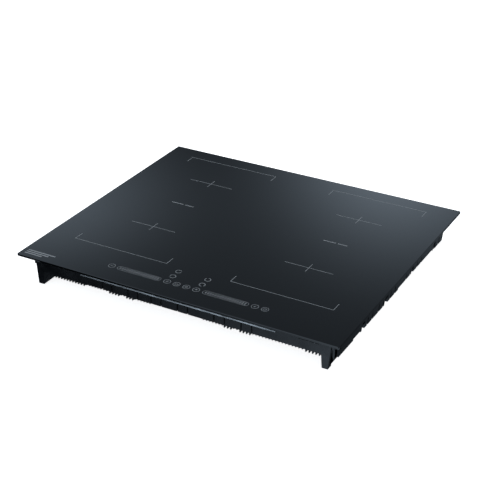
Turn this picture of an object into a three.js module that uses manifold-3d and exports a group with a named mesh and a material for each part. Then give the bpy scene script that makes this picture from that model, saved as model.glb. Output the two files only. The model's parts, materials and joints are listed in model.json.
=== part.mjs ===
// Built-in induction hob with four round coils under a black glass plate.
// Millimetres, +Z up, +X to the right, front towards -Y. The origin is at the middle of the
// underside, so the tray stands on z = 0 and the cooking surface is at z = overallHeight.

import * as THREE from 'three';
import { mergeVertices } from 'three/addons/utils/BufferGeometryUtils.js';
import Module from 'manifold-3d';

const wasm = await Module();
wasm.setup();

// ---------------------------------------------------------------- driving dimensions

// Glass plate
const glassWidth = 590;
const glassDepth = 520;
const glassThickness = 4;
const glassCornerRadius = 3;
const glassEdgeBevel = 0.5;
const overallHeight = 59;

// How far the glass reaches past the housing below it
const sideOverhang = 23;
const frontOverhang = 21;
const backOverhang = 12.5;

// Gaps between neighbouring pieces
const touch = 0.3;
const sealGap = 0.6;
const runningGap = 0.6;

// Foam seal under the rim of the glass
const sealThickness = 2.5;
const sealSetback = 5;

// Support frame that is bonded to the glass, behind the front wall of the tray
const frameSideStep = 5.3;
const frameBottomDrop = 24.5;
const frameSkirtWall = 1.5;
const frameFlangeWidth = 12;
const frameFlangeThickness = 1.5;

// Bottom tray
const trayWall = 2.5;
const trayFloor = 2.4;
const trayDraft = 3.2;
const sideBlockProud = 4;
const stepDepth = 43;
const stepRoofDrop = 35.2;
const footWidth = 15.5;
const footTaper = 2;
const footReliefStart = 12;
const footReliefEnd = 39;
const footReliefHeight = 4;
const blockReliefHeight = 3;

// Lip and short ridges along the front wall, and the groove under the lip. The face of the lip
// leans back above its lowest stretch.
const frontLipInset = 92;
const frontLipReach = 2.5;
const frontLipTopDrop = 17.3;
const frontLipHeight = 2.6;
const frontLipRound = 0.7;
const frontLipFace = 0.9;
const frontLipSetback = 0.9;
const lipGrooveHeight = 1;
const lipGrooveDepth = 0.8;
const shortRidgeInset = 18;
const shortRidgeLength = 36;
const shortRidgeReach = 0.8;
const shortRidgeHeight = 1.4;

// Recesses in the side wall just behind each front foot, with an upright post in the first
const cornerRecessStart = 5;
const cornerRecessEnd = 30;
const cornerRecessDepth = 8;
const cornerRecessBottom = 7;
const cornerRecessTopDrop = 7.2;
const cornerPostRadius = 3;
const cornerPostPlace = 21;
const smallRecessStart = 38;
const smallRecessEnd = 45;
const smallRecessDepth = 5;
const smallRecessBottom = 13;

// Ribs that hang below the roof of the front step, and the air intake windows behind them
const ribPitch = 5.7;
const ribThickness = 2;
const ribSetback = 7.4;
const shallowRib = 6.6;
const deepRib = 9.2;
// Ends of each group of ribs, as shares of the half width between the front feet
const ribGroups = [
  { from: -0.982, to: -0.702, drop: deepRib },
  { from: -0.698, to: -0.522, drop: shallowRib },
  { from: -0.518, to: -0.433, drop: deepRib },
  { from: -0.429, to: -0.39, drop: shallowRib },
  { from: -0.386, to: -0.327, drop: deepRib },
  { from: -0.324, to: -0.195, drop: shallowRib },
  { from: 0.183, to: 0.32, drop: shallowRib },
  { from: 0.324, to: 0.386, drop: deepRib },
  { from: 0.39, to: 0.429, drop: shallowRib },
  { from: 0.433, to: 0.518, drop: deepRib },
  { from: 0.522, to: 0.873, drop: shallowRib },
  { from: 0.877, to: 0.986, drop: deepRib },
];
const intakeWindowBottom = 4;
const intakeWindowTop = 12.5;
const intakeWindowCount = 12;
const intakeWindowGap = 6;
const intakeEndMargin = 20;

// Snap tabs: a pair of slits leaves a springy tongue in the wall between them
const tabWidth = 17;
const slitWidth = 1.8;
// Tab centres as shares of the half width of the tray, and of its depth from the front
const frontTabShares = [-0.476, -0.293, -0.131, 0.05, 0.296, 0.474];
const sideTabShares = [0.3258, 0.4181, 0.5213, 0.6604, 0.7636, 0.9408];
const sideSlitWidth = 3.4;
const sideSlitDepth = 3;

// Recesses between the blocks of the side wall, and the stretches where a block ends higher,
// as shares of the depth of the tray from its front
const sideNotches = [
  { from: 0.2594, to: 0.2816 },
  { from: 0.4493, to: 0.4771 },
  { from: 0.69, to: 0.7083 },
  { from: 0.9044, to: 0.9168 },
];
const raisedBlocks = [
  { from: 0.1932, to: 0.2528 },
  { from: 0.5714, to: 0.9024 },
];

// Exhaust slots in the back wall
const exhaustSlotWidth = 4.2;
const exhaustSlotPitch = 12;
const exhaustSlotBottom = 9;
const exhaustSlotTopDrop = 3.2;
const exhaustStart = 84;
const exhaustEndMargin = 46;

// Terminal recess in the back wall, its opening and its hinged cover
const recessHalfWidth = 46;
const recessDepth = 12.5;
const recessRoof = 2.6;
const terminalOpeningLeft = -38;
const terminalOpeningRight = 17;
const terminalOpeningBottom = 9;
const terminalOpeningTopDrop = 8.7;
const coverOverlap = 2;
const coverThickness = 2;
const coverKnuckleRadius = 2.5;
const coverHingeStandoff = 3.1;
const coverHingeRise = 2.8;
const coverPullInset = 12;
const coverPullReach = 1.6;
const coverPullHeight = 3;
const hingePinRadius = 1.2;
const hingeEarWidth = 4;
const hingeEarWall = 2;
const coverNotchRadius = 5;

// Cable inlet with its rubber grommet, beside the terminal opening
const inletX = 32;
const inletHeightShare = 0.55;
const inletRadius = 7.5;
const grommetBore = 5;
const grommetLip = 1.8;
const grommetLipRadius = 9.4;

// Corner bosses and the screws that hold the frame to the tray
const bossRadius = 5;
const screwHoleRadius = 1.9;
const screwShankRadius = 1.5;
const screwHeadRadius = 3.6;
const screwHeadHeight = 2.2;
const screwSlotWidth = 1.2;
const screwSlotDepth = 1;
const screwTipPast = 1;
const counterboreRadius = 4.2;
const counterboreDepth = 3;
const bossInset = 9.5;
const frontBossInset = 10;
const frameLugThickness = 2.4;
const frameLugHalfWidth = 7;

// Coil carriers: sprung aluminium plates with two coils each
const frameToCoilGap = 10.5;
const controlDepth = 59;
const controlToCoilGap = 14;
const coilGap = 25;
const coilSideMargin = 27;
const micaThickness = 0.6;
const windingThickness = 4.2;
const formerThickness = 3;
const ferriteThickness = 2.5;
const plateThickness = 1.5;
const plateMargin = 6;
const plateCentreInset = 8;
const plateSideGap = 8;
const plateFlangeHeight = 3;
const windingInnerRadius = 24;
const windingGapRadius = 56;
const windingGapWidth = 3.5;
const windingGrooveDepth = 1.8;
const windingSideGap = 0.6;
const formerEdgeGap = 0.5;
const formerWindowWidth = 10;
const formerWindowMargin = 6;
const formerRim = 2.4;
const formerRimHeight = 2.4;
const formerHubRadius = 13;
const formerHubWall = 2.6;
const formerHubHeight = 3.2;
const sensorRadius = 6.2;
const sensorTipRadius = 4.6;
const sensorFlangeRadius = 8.8;
const sensorFlangeHeight = 1;
const sensorStemBelow = 2.6;
const ferriteCount = 8;
const ferriteWidth = 13;
const ferriteRingInner = 15;
const ferriteRingOuter = 21;
const ferriteEndInset = 4;
const micaHoleGap = 1;
const micaEdgeInset = 2;

// Springs under the coil carriers
const springOuterRadius = 4.2;
const springInnerRadius = 2.9;
const springHeight = 7.4;
const postRadius = 4.6;
const postPegRadius = 2.2;
const postPegHeight = 2.4;
const outerPostInset = 9;
const outerPostEndInset = 10;
const centrePostX = 15;

// Power electronics, one board with its blower on each side
const boardThickness = 1.6;
const boardStandoff = 5.2;
const standoffRadius = 3;
const boardEdgeMargin = 6;
const boardPostGap = 4;
const boardOuterMargin = 20;
const boardToBlowerGap = 6;
const standoffInset = 9;
const heatSinkBase = 3;
const componentClearance = 6.9;
const heatSinkFinCount = 8;
const heatSinkFinThickness = 1.8;
const heatSinkWidth = 74;
const heatSinkEndMargin = 8;
const frontComponentZone = 62;
const capacitorWidth = 44;
const capacitorDepth = 22;
const capacitorHeightShare = 0.96;
const capacitorOffset = 40;
const capacitorRound = 2.5;
const chokeOuterRadius = 21;
const chokeInnerRadius = 8;
const chokeHeightShare = 0.68;
const chokeEdge = 3;
const chokeOffset = 34;

// Radial blowers
const blowerSize = 104;
const blowerHeight = 25;
const blowerWall = 2;
const blowerCornerRadius = 12;
const blowerBackMargin = 8;
const blowerRim = 5;
const blowerIntakeInset = 11;
const blowerTopHoleInset = 6;
const blowerOutletInset = 10;
const blowerOutletSill = 1;
const blowerMotorRadius = 12;
const blowerMotorHeight = 3;
const blowerSpokeWidth = 5;
const blowerSpokeCount = 3;
const blowerSpokeOverlap = 2;
const rotorSideGap = 5;
const rotorDisc = 1.6;
const rotorHubRadius = 14;
const rotorHubDrop = 4;
const rotorBladeLength = 14;
const rotorBladeInset = 8.1;
const rotorBladeThickness = 1.4;
const rotorBladeCount = 18;
const rotorBladeLeanDegrees = 28;
const floorGrilleSlot = 4;
const floorGrillePitch = 8;

// Mains filter board between the blowers
const filterBoardGap = 6;
const filterBoardDepth = 84;
const filterChokeWidth = 34;
const filterChokeDepth = 30;
const filterChokeHeightShare = 0.96;
const filterChokeRound = 4;
const filterChokeLimb = 10;
const filterChokeYoke = 7;
const filterChokeFrontGap = 8;
const terminalBlockDepth = 22;
const terminalBlockHeight = 15;
const terminalPoleCount = 5;
const terminalPolePitch = 10;
const terminalScrewRadius = 2.6;
const terminalScrewDepth = 6;
const terminalScrewShare = 0.4;
const terminalWireRadius = 2.2;
const terminalWireDepth = 8;
const terminalWireShare = 0.35;

// Touch control behind the front edge of the glass
const controlHalfWidth = 168;
const carrierWall = 1.8;
const carrierFloor = 1.6;
const carrierHeight = 9.5;
const carrierLegRadius = 3.4;
const carrierLegX = [-150, -52, 52, 150];
const carrierLegY = 13;
const controlBoardGap = 2;
const ledBarLength = 82;
const ledBarDepth = 13;
const ledBarHeight = 3.2;
const ledBarX = 80;
const ledBarY = 25;

// Facets on a full turn
const largeRound = 32;
const mediumRound = 18;
const smallRound = 10;
const cornerFacets = 4;
const smallCornerFacets = 2;

// ---------------------------------------------------------------- derived levels and edges

const glassBottom = overallHeight - glassThickness;
const glassFront = -glassDepth / 2;
const glassBack = glassDepth / 2;

const trayHalf = glassWidth / 2 - sideOverhang;
const trayFront = glassFront + frontOverhang;
const trayBack = glassBack - backOverhang;

const frameHalf = trayHalf + frameSideStep;
const frameFront = trayFront + trayWall + touch;
const frameBack = trayBack;
const frameTop = glassBottom - touch;
const frameBottom = overallHeight - frameBottomDrop;
const trayTop = frameBottom - touch;
const frontWallTop = glassBottom - touch;
const stepHeight = overallHeight - stepRoofDrop;
const cornerRecessTop = trayTop - cornerRecessTopDrop;
const exhaustSlotTop = trayTop - exhaustSlotTopDrop;
const terminalOpeningTop = trayTop - terminalOpeningTopDrop;
const frontLipHalfLength = trayHalf - frontLipInset;
const lipTop = overallHeight - frontLipTopDrop;
const lipBottom = lipTop - frontLipHeight;
const slitTop = lipBottom - lipGrooveHeight;

const stepY = trayFront + stepDepth;
const thinSide = trayHalf - sideBlockProud - trayWall;
const footInner = trayHalf - footWidth;
const innerHalf = thinSide - trayDraft;
const innerFront = stepY + trayWall;
const innerBack = trayBack - trayWall;

const windowHalf = frameHalf - frameFlangeWidth;
const windowFront = frameFront + frameFlangeWidth;
const windowBack = frameBack - frameFlangeWidth;

const coilZoneFront = windowFront + controlDepth + controlToCoilGap;
const coilZoneBack = windowBack - frameToCoilGap;
const coilRadius = (coilZoneBack - coilZoneFront - coilGap) / 4;
const coilX = windowHalf - coilSideMargin - coilRadius;
const rearCoilY = coilZoneBack - coilRadius;
const frontCoilY = coilZoneFront + coilRadius;

const micaTop = glassBottom - touch;
const micaBottom = micaTop - micaThickness;
const windingTop = micaBottom - touch;
const windingBottom = windingTop - windingThickness;
const formerTop = windingBottom - touch;
const formerBottom = formerTop - formerThickness;
const ferriteTop = formerBottom - touch;
const ferriteBottom = ferriteTop - ferriteThickness;
const plateTop = ferriteBottom - touch;
const plateBottom = plateTop - plateThickness;
const springTop = plateBottom - touch;
const springBottom = springTop - springHeight;
const postTop = springBottom - touch;

const plateOuterX = thinSide - plateSideGap;
const plateFront = coilZoneFront - plateMargin;
const plateBack = coilZoneBack + plateMargin;
const outerPostX = innerHalf - outerPostInset;
const postPlaces = [
  { name: 'outer_front', x: outerPostX, y: plateFront + outerPostEndInset },
  { name: 'outer_rear', x: outerPostX, y: plateBack - outerPostEndInset },
  { name: 'centre', x: centrePostX, y: (frontCoilY + rearCoilY) / 2 },
];

const boardBottom = trayFloor + boardStandoff + touch;
const boardTop = boardBottom + boardThickness;
const partsBottom = boardTop + touch;
const heatSinkHeight = plateBottom - componentClearance - partsBottom;
const capacitorHeight = heatSinkHeight * capacitorHeightShare;
const chokeHeight = heatSinkHeight * chokeHeightShare;
const filterChokeHeight = heatSinkHeight * filterChokeHeightShare;
const blowerCavityRadius = blowerSize / 2 - blowerRim;
const rotorRadius = blowerCavityRadius - rotorSideGap;
const blowerIntakeRadius = rotorRadius - blowerIntakeInset;
const blowerOutletHalfWidth = rotorRadius - blowerOutletInset;
const blowerX = innerHalf / 2;
const blowerY = innerBack - blowerBackMargin - blowerSize / 2;
const blowerFront = blowerY - blowerSize / 2;
const blowerBottom = trayFloor + touch;
const boardInnerX = centrePostX + postRadius + boardPostGap;
const boardOuterX = innerHalf - boardOuterMargin;
const boardFront = innerFront + boardEdgeMargin;
const boardBack = blowerFront - boardToBlowerGap;
const heatSinkFront = boardFront + frontComponentZone;
const heatSinkBack = boardBack - heatSinkEndMargin;

const recessWallBack = trayBack - recessDepth;
const recessWallFront = recessWallBack - trayWall;
const filterHalf = blowerX - blowerSize / 2 - filterBoardGap;
const filterBack = recessWallFront - grommetLip - 2 * touch;
const filterFront = filterBack - filterBoardDepth;

const hingeY = recessWallBack + coverHingeStandoff;
const hingeZ = terminalOpeningTop + coverHingeRise;
const inletZ = (trayTop - recessRoof) * inletHeightShare;
const cornerBosses = [
  { name: 'front_right', x: innerHalf - bossInset, y: innerFront + frontBossInset },
  { name: 'rear_right', x: innerHalf - bossInset, y: innerBack - bossInset },
  { name: 'front_left', x: bossInset - innerHalf, y: innerFront + frontBossInset },
  { name: 'rear_left', x: bossInset - innerHalf, y: innerBack - bossInset },
];
const sides = [
  { name: 'left', sign: -1 },
  { name: 'right', sign: 1 },
];

// A place along the depth of the tray, from a share of that depth measured from its front
function alongDepth(share) {
  return trayFront + share * (trayBack - trayFront);
}

// ---------------------------------------------------------------- solid helpers

const far = 1000;

function toSolid(geometry) {
  const bare = geometry.clone();
  bare.deleteAttribute('normal');
  bare.deleteAttribute('uv');
  const merged = mergeVertices(bare, 1e-4);
  const vertProperties = new Float32Array(merged.attributes.position.array);
  const triVerts = new Uint32Array(merged.index.array);
  return new wasm.Manifold(new wasm.Mesh({ numProp: 3, vertProperties, triVerts }));
}

function toGeometry(solid) {
  const mesh = solid.getMesh();
  const geometry = new THREE.BufferGeometry();
  geometry.setAttribute('position', new THREE.BufferAttribute(new Float32Array(mesh.vertProperties), 3));
  geometry.setIndex(new THREE.BufferAttribute(new Uint32Array(mesh.triVerts), 1));
  const faceted = geometry.toNonIndexed();
  faceted.computeVertexNormals();
  return faceted;
}

// A straight-sided block between two x, two y and two z values
function block(x0, x1, y0, y1, z0, z1) {
  const geometry = new THREE.BoxGeometry(x1 - x0, y1 - y0, z1 - z0);
  geometry.translate((x0 + x1) / 2, (y0 + y1) / 2, (z0 + z1) / 2);
  return toSolid(geometry);
}

// An upright round rod with its axis at x, y
function rod(radius, x, y, z0, z1, facets) {
  const geometry = new THREE.CylinderGeometry(radius, radius, z1 - z0, facets);
  geometry.rotateX(Math.PI / 2);
  geometry.translate(x, y, (z0 + z1) / 2);
  return toSolid(geometry);
}

// A round rod along X with its axis at y, z
function crossRod(radius, y, z, x0, x1, facets) {
  const geometry = new THREE.CylinderGeometry(radius, radius, x1 - x0, facets);
  geometry.rotateZ(Math.PI / 2);
  geometry.translate((x0 + x1) / 2, y, z);
  return toSolid(geometry);
}

// A round rod along Y with its axis at x, z
function depthRod(radius, x, z, y0, y1, facets) {
  const geometry = new THREE.CylinderGeometry(radius, radius, y1 - y0, facets);
  geometry.translate(x, (y0 + y1) / 2, z);
  return toSolid(geometry);
}

// Outline of a rectangle with rounded corners
function roundedOutline(x0, x1, y0, y1, radius) {
  const shape = new THREE.Shape();
  shape.moveTo(x0 + radius, y0);
  shape.lineTo(x1 - radius, y0);
  shape.absarc(x1 - radius, y0 + radius, radius, -Math.PI / 2, 0, false);
  shape.lineTo(x1, y1 - radius);
  shape.absarc(x1 - radius, y1 - radius, radius, 0, Math.PI / 2, false);
  shape.lineTo(x0 + radius, y1);
  shape.absarc(x0 + radius, y1 - radius, radius, Math.PI / 2, Math.PI, false);
  shape.lineTo(x0, y0 + radius);
  shape.absarc(x0 + radius, y0 + radius, radius, Math.PI, Math.PI * 1.5, false);
  return shape;
}

// An upright prism of an outline
function prism(shape, z0, z1, curveSegments = cornerFacets) {
  const geometry = new THREE.ExtrudeGeometry(shape, { depth: z1 - z0, bevelEnabled: false, curveSegments });
  geometry.translate(0, 0, z0);
  return toSolid(geometry);
}

// A prism along X of an outline drawn in the y-z plane
function crossPrism(points, x0, x1) {
  const shape = new THREE.Shape(points.map(([y, z]) => new THREE.Vector2(y, z)));
  const geometry = new THREE.ExtrudeGeometry(shape, { depth: x1 - x0, bevelEnabled: false });
  geometry.rotateX(Math.PI / 2);
  geometry.rotateZ(Math.PI / 2);
  geometry.translate(x0, 0, 0);
  return toSolid(geometry);
}

// A solid of revolution about the z axis from a closed or axis-to-axis profile of [radius, z]
function turned(profile, facets) {
  const points = profile.map(([radius, z]) => new THREE.Vector2(radius, z));
  const geometry = new THREE.LatheGeometry(points, facets);
  geometry.rotateX(Math.PI / 2);
  return toSolid(geometry);
}

function ringProfile(innerRadius, outerRadius, z0, z1) {
  return [
    [innerRadius, z0],
    [outerRadius, z0],
    [outerRadius, z1],
    [innerRadius, z1],
    [innerRadius, z0],
  ];
}

function joined(solids) {
  return solids.reduce((whole, piece) => whole.add(piece));
}

function without(solid, cuts) {
  return cuts.reduce((rest, cut) => rest.subtract(cut), solid);
}

// Leans the side walls inwards towards the bottom, and the inner faces of the front feet outwards
function drafted(solid) {
  const geometry = toGeometry(solid);
  const position = geometry.attributes.position;
  for (let i = 0; i < position.count; i += 1) {
    const x = position.getX(i);
    const z = position.getZ(i);
    const onWall = Math.abs(x) > thinSide - touch;
    const onFoot = Math.abs(Math.abs(x) - footInner) < touch && z < stepHeight;
    if (onWall) {
      position.setX(i, x - Math.sign(x) * trayDraft * (1 - z / trayTop));
    } else if (onFoot) {
      position.setX(i, x + Math.sign(x) * footTaper * (1 - z / stepHeight));
    }
  }
  return toSolid(geometry);
}

// ---------------------------------------------------------------- assembly helpers

const hob = new THREE.Group();
hob.name = 'induction_hob';

function material(color, roughness, metalness) {
  return new THREE.MeshStandardMaterial({ color, roughness, metalness });
}

const looks = {
  glass: () => material(0x101216, 0.06, 0),
  foam: () => material(0x1b1b1c, 0.95, 0),
  frame: () => material(0x15171a, 0.35, 0),
  tray: () => material(0x1c1f24, 0.45, 0),
  aluminium: () => material(0xb9bcc0, 0.35, 1),
  copper: () => material(0xa85f35, 0.45, 0.9),
  ferrite: () => material(0x2b2d30, 0.7, 0),
  former: () => material(0x3a3d42, 0.6, 0),
  mica: () => material(0xcfc8b4, 0.8, 0),
  steel: () => material(0x9a9da1, 0.3, 1),
  board: () => material(0x1f4a33, 0.55, 0),
  blower: () => material(0x17181a, 0.5, 0),
  capacitor: () => material(0x8d2f25, 0.5, 0),
  choke: () => material(0xa9652f, 0.5, 0.5),
  terminal: () => material(0xd9d7d0, 0.55, 0),
  rubber: () => material(0x0e0e0f, 0.85, 0),
  led: () => material(0xdadcdd, 0.5, 0),
};

function addPart(parent, name, solid, look) {
  const mesh = new THREE.Mesh(toGeometry(solid), look());
  mesh.name = name;
  parent.add(mesh);
  return mesh;
}

// A group placed at x, y, z
function place(parent, x, y, z) {
  const group = new THREE.Group();
  group.position.set(x, y, z);
  parent.add(group);
  return group;
}

// ---------------------------------------------------------------- glass, seal and frame

function glassTop() {
  const inset = glassEdgeBevel;
  const halfX = glassWidth / 2 - inset;
  const halfY = glassDepth / 2 - inset;
  const geometry = new THREE.ExtrudeGeometry(
    roundedOutline(-halfX, halfX, -halfY, halfY, glassCornerRadius - inset),
    {
      depth: glassThickness - 2 * glassEdgeBevel,
      bevelThickness: glassEdgeBevel,
      bevelSize: glassEdgeBevel,
      bevelSegments: 1,
      curveSegments: cornerFacets,
    },
  );
  geometry.translate(0, 0, glassBottom + glassEdgeBevel);
  return toSolid(geometry);
}

function glassSeal() {
  const outerX = glassWidth / 2 - sealSetback;
  const outerY = glassDepth / 2 - sealSetback;
  const z0 = glassBottom - touch - sealThickness;
  const z1 = glassBottom - touch;
  const innerX = frameHalf + sealGap;
  const outer = prism(roundedOutline(-outerX, outerX, -outerY, outerY, glassCornerRadius), z0, z1);
  return outer.subtract(block(-innerX, innerX, trayFront - sealGap, frameBack + sealGap, -far, far));
}

function frameLug(boss) {
  const sign = Math.sign(boss.x);
  const inner = boss.x - sign * frameLugHalfWidth;
  const outer = sign * (frameHalf - frameSkirtWall / 2);
  const reach = [inner, outer].sort((a, b) => a - b);
  const y0 = boss.y - frameLugHalfWidth;
  const y1 = boss.y + frameLugHalfWidth;
  return block(reach[0], reach[1], y0, y1, frameBottom, frameBottom + frameLugThickness);
}

function supportFrame() {
  const w = frameSkirtWall;
  const flangeBottom = frameTop - frameFlangeThickness;
  const shell = without(block(-frameHalf, frameHalf, frameFront, frameBack, frameBottom, frameTop), [
    block(-frameHalf + w, frameHalf - w, frameFront + w, frameBack - w, -far, flangeBottom),
    block(-windowHalf, windowHalf, windowFront, windowBack, -far, far),
  ]);
  const whole = joined([shell, ...cornerBosses.map(frameLug)]);
  const holes = cornerBosses.map((boss) => rod(screwHoleRadius, boss.x, boss.y, -far, far, smallRound));
  return without(whole, holes);
}

// ---------------------------------------------------------------- bottom tray

// The outer walls, floor, front step and feet, with upright walls
function trayShell() {
  const body = block(-trayHalf, trayHalf, trayFront, trayBack, 0, trayTop);
  const frontWall = block(-trayHalf, trayHalf, trayFront, trayFront + trayWall, 0, frontWallTop);
  return without(body.add(frontWall), [
    block(-thinSide, thinSide, innerFront, innerBack, trayFloor, far),
    block(-thinSide, thinSide, trayFront + trayWall, innerFront + trayWall, stepHeight + trayFloor, far),
    block(-footInner, footInner, -far, stepY, -far, stepHeight),
  ]);
}

function frontLip() {
  const back = trayFront + trayWall / 2;
  const front = trayFront - frontLipReach;
  return crossPrism(
    [
      [back, lipBottom],
      [front + frontLipRound, lipBottom],
      [front, lipBottom + frontLipRound],
      [front, lipBottom + frontLipFace],
      [front + frontLipSetback, lipTop],
      [back, lipTop],
    ],
    -frontLipHalfLength,
    frontLipHalfLength,
  );
}

function lipGroove() {
  const half = frontLipHalfLength;
  return block(-half, half, -far, trayFront + lipGrooveDepth, slitTop, lipBottom);
}

function shortRidge(sign) {
  const outer = trayHalf - shortRidgeInset;
  const ends = [sign * (outer - shortRidgeLength), sign * outer].sort((a, b) => a - b);
  const back = trayFront + trayWall / 2;
  return block(ends[0], ends[1], trayFront - shortRidgeReach, back, lipBottom, lipBottom + shortRidgeHeight);
}

function cornerPost(sign) {
  const x = sign * (trayHalf - cornerRecessDepth + cornerPostRadius);
  const y = trayFront + cornerPostPlace;
  return rod(cornerPostRadius, x, y, cornerRecessBottom - touch, cornerRecessTop + touch, smallRound);
}

function sideCuts(sign) {
  const outer = sign * far;
  const face = sign * (trayHalf - sideBlockProud);
  const cutBetween = (xa, xb, y0, y1, z0, z1) => block(Math.min(xa, xb), Math.max(xa, xb), y0, y1, z0, z1);
  const notches = sideNotches.map((notch) =>
    cutBetween(face, outer, alongDepth(notch.from), alongDepth(notch.to), -far, far));
  const raised = raisedBlocks.map((part) =>
    cutBetween(face, outer, alongDepth(part.from), alongDepth(part.to), -far, blockReliefHeight));
  const footRelief = cutBetween(
    face,
    outer,
    trayFront + footReliefStart,
    trayFront + footReliefEnd,
    -far,
    footReliefHeight,
  );
  const cornerRecess = cutBetween(
    sign * (trayHalf - cornerRecessDepth),
    outer,
    trayFront + cornerRecessStart,
    trayFront + cornerRecessEnd,
    cornerRecessBottom,
    cornerRecessTop,
  );
  const smallRecess = cutBetween(
    sign * (trayHalf - smallRecessDepth),
    outer,
    trayFront + smallRecessStart,
    trayFront + smallRecessEnd,
    smallRecessBottom,
    far,
  );
  return [...notches, ...raised, footRelief, cornerRecess, smallRecess];
}

// Through slits in the front wall and open grooves down the side blocks
function tabSlits() {
  const offsets = [-(tabWidth + slitWidth) / 2, (tabWidth + slitWidth) / 2];
  const half = slitWidth / 2;
  const front = frontTabShares.flatMap((share) =>
    offsets.map((offset) => {
      const x = share * trayHalf + offset;
      return block(x - half, x + half, -far, trayFront + trayWall + touch, stepHeight - touch, slitTop);
    }),
  );
  const sidePairs = sides.flatMap((side) =>
    sideTabShares.flatMap((share) =>
      offsets.map((offset) => {
        const y = alongDepth(share) + offset;
        const reach = sideSlitWidth / 2;
        const ends = [side.sign * (trayHalf - sideSlitDepth), side.sign * far].sort((a, b) => a - b);
        return block(ends[0], ends[1], y - reach, y + reach, -far, far);
      }),
    ),
  );
  return [...front, ...sidePairs];
}

function stepRibs() {
  const ribs = [];
  const half = ribThickness / 2;
  ribGroups.forEach(({ from, to, drop }) => {
    const first = from * footInner;
    const last = to * footInner;
    const count = Math.floor((last - first) / ribPitch) + 1;
    const start = (first + last - (count - 1) * ribPitch) / 2;
    for (let i = 0; i < count; i += 1) {
      const x = start + i * ribPitch;
      const front = trayFront + ribSetback;
      ribs.push(block(x - half, x + half, front, stepY + touch, stepHeight - drop, stepHeight + touch));
    }
  });
  return ribs;
}

function intakeWindows() {
  const reach = innerHalf - intakeEndMargin;
  const pitch = (2 * reach) / intakeWindowCount;
  const half = (pitch - intakeWindowGap) / 2;
  const windows = [];
  for (let i = 0; i < intakeWindowCount; i += 1) {
    const x = (i + 0.5) * pitch - reach;
    const back = innerFront + touch;
    windows.push(block(x - half, x + half, stepY - touch, back, intakeWindowBottom, intakeWindowTop));
  }
  return windows;
}

function exhaustSlots() {
  const slots = [];
  const count = Math.floor((innerHalf - exhaustEndMargin - exhaustStart) / exhaustSlotPitch) + 1;
  sides.forEach((side) => {
    for (let i = 0; i < count; i += 1) {
      const x = side.sign * (exhaustStart + i * exhaustSlotPitch);
      const half = exhaustSlotWidth / 2;
      slots.push(block(x - half, x + half, innerBack - touch, far, exhaustSlotBottom, exhaustSlotTop));
    }
  });
  return slots;
}

function floorGrilles() {
  const slots = [];
  const rows = Math.floor(blowerIntakeRadius / floorGrillePitch);
  sides.forEach((side) => {
    for (let row = -rows; row <= rows; row += 1) {
      const y = blowerY + row * floorGrillePitch;
      const reach = Math.sqrt(blowerIntakeRadius ** 2 - (row * floorGrillePitch) ** 2);
      const x = side.sign * blowerX;
      const half = floorGrilleSlot / 2;
      slots.push(block(x - reach, x + reach, y - half, y + half, -far, trayFloor + touch));
    }
  });
  return slots;
}

function boardStandoffPlaces() {
  const places = [];
  sides.forEach((side) => {
    [boardInnerX + standoffInset, boardOuterX - standoffInset].forEach((x) => {
      [boardFront + standoffInset, boardBack - standoffInset].forEach((y) => {
        places.push({ x: side.sign * x, y });
      });
    });
    [filterFront + standoffInset, filterBack - standoffInset].forEach((y) => {
      places.push({ x: side.sign * (filterHalf - standoffInset), y });
    });
  });
  return places;
}

function springPost(x, y) {
  const shaft = rod(postRadius, x, y, trayFloor / 2, postTop, smallRound);
  const peg = rod(postPegRadius, x, y, postTop - touch, postTop + postPegHeight, smallRound);
  return shaft.add(peg);
}

function hingeEars() {
  const inset = terminalOpeningLeft - coverOverlap - touch;
  const outset = terminalOpeningRight + coverOverlap + touch;
  const spans = [
    [inset - hingeEarWidth, inset],
    [outset, outset + hingeEarWidth],
  ];
  const rise = hingePinRadius + hingeEarWall;
  return spans.map(([x0, x1]) =>
    block(x0, x1, recessWallBack - touch, hingeY + rise, hingeZ - rise, hingeZ + rise));
}

function terminalRecess() {
  const half = recessHalfWidth;
  const w = trayWall;
  return {
    walls: block(-half - w, half + w, recessWallFront, trayBack - touch, trayFloor / 2, trayTop),
    cuts: [block(-half, half, recessWallBack, far, -far, trayTop - recessRoof)],
    openings: [
      block(
        terminalOpeningLeft,
        terminalOpeningRight,
        recessWallFront - touch,
        recessWallBack + touch,
        terminalOpeningBottom,
        terminalOpeningTop,
      ),
      depthRod(inletRadius, inletX, inletZ, recessWallFront - touch, recessWallBack + touch, mediumRound),
      crossRod(hingePinRadius + touch, hingeY, hingeZ, -recessHalfWidth, recessHalfWidth, smallRound),
    ],
  };
}

function baseTray() {
  const wallCuts = sides.flatMap((side) => sideCuts(side.sign));
  const shell = drafted(without(trayShell(), [...tabSlits(), ...wallCuts]));
  const recess = terminalRecess();
  const standoffs = boardStandoffPlaces().map(({ x, y }) =>
    rod(standoffRadius, x, y, trayFloor / 2, boardBottom - touch, smallRound));
  const posts = sides.flatMap((side) => postPlaces.map((post) => springPost(side.sign * post.x, post.y)));
  const bosses = cornerBosses.map((boss) =>
    rod(bossRadius, boss.x, boss.y, trayFloor / 2, trayTop, smallRound));
  const front = [frontLip(), ...sides.flatMap((side) => [shortRidge(side.sign), cornerPost(side.sign)])];
  const filled = joined([shell, recess.walls, ...standoffs, ...posts, ...bosses, ...stepRibs(), ...front]);
  const opened = without(filled, recess.cuts);
  const screwHoles = cornerBosses.flatMap((boss) => [
    rod(screwHoleRadius, boss.x, boss.y, -far, far, smallRound),
    rod(counterboreRadius, boss.x, boss.y, -far, counterboreDepth, smallRound),
  ]);
  return without(joined([opened, ...hingeEars()]), [
    ...recess.openings,
    lipGroove(),
    ...screwHoles,
    ...intakeWindows(),
    ...exhaustSlots(),
    ...floorGrilles(),
  ]);
}

// ---------------------------------------------------------------- terminal cover, grommet, screws

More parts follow.
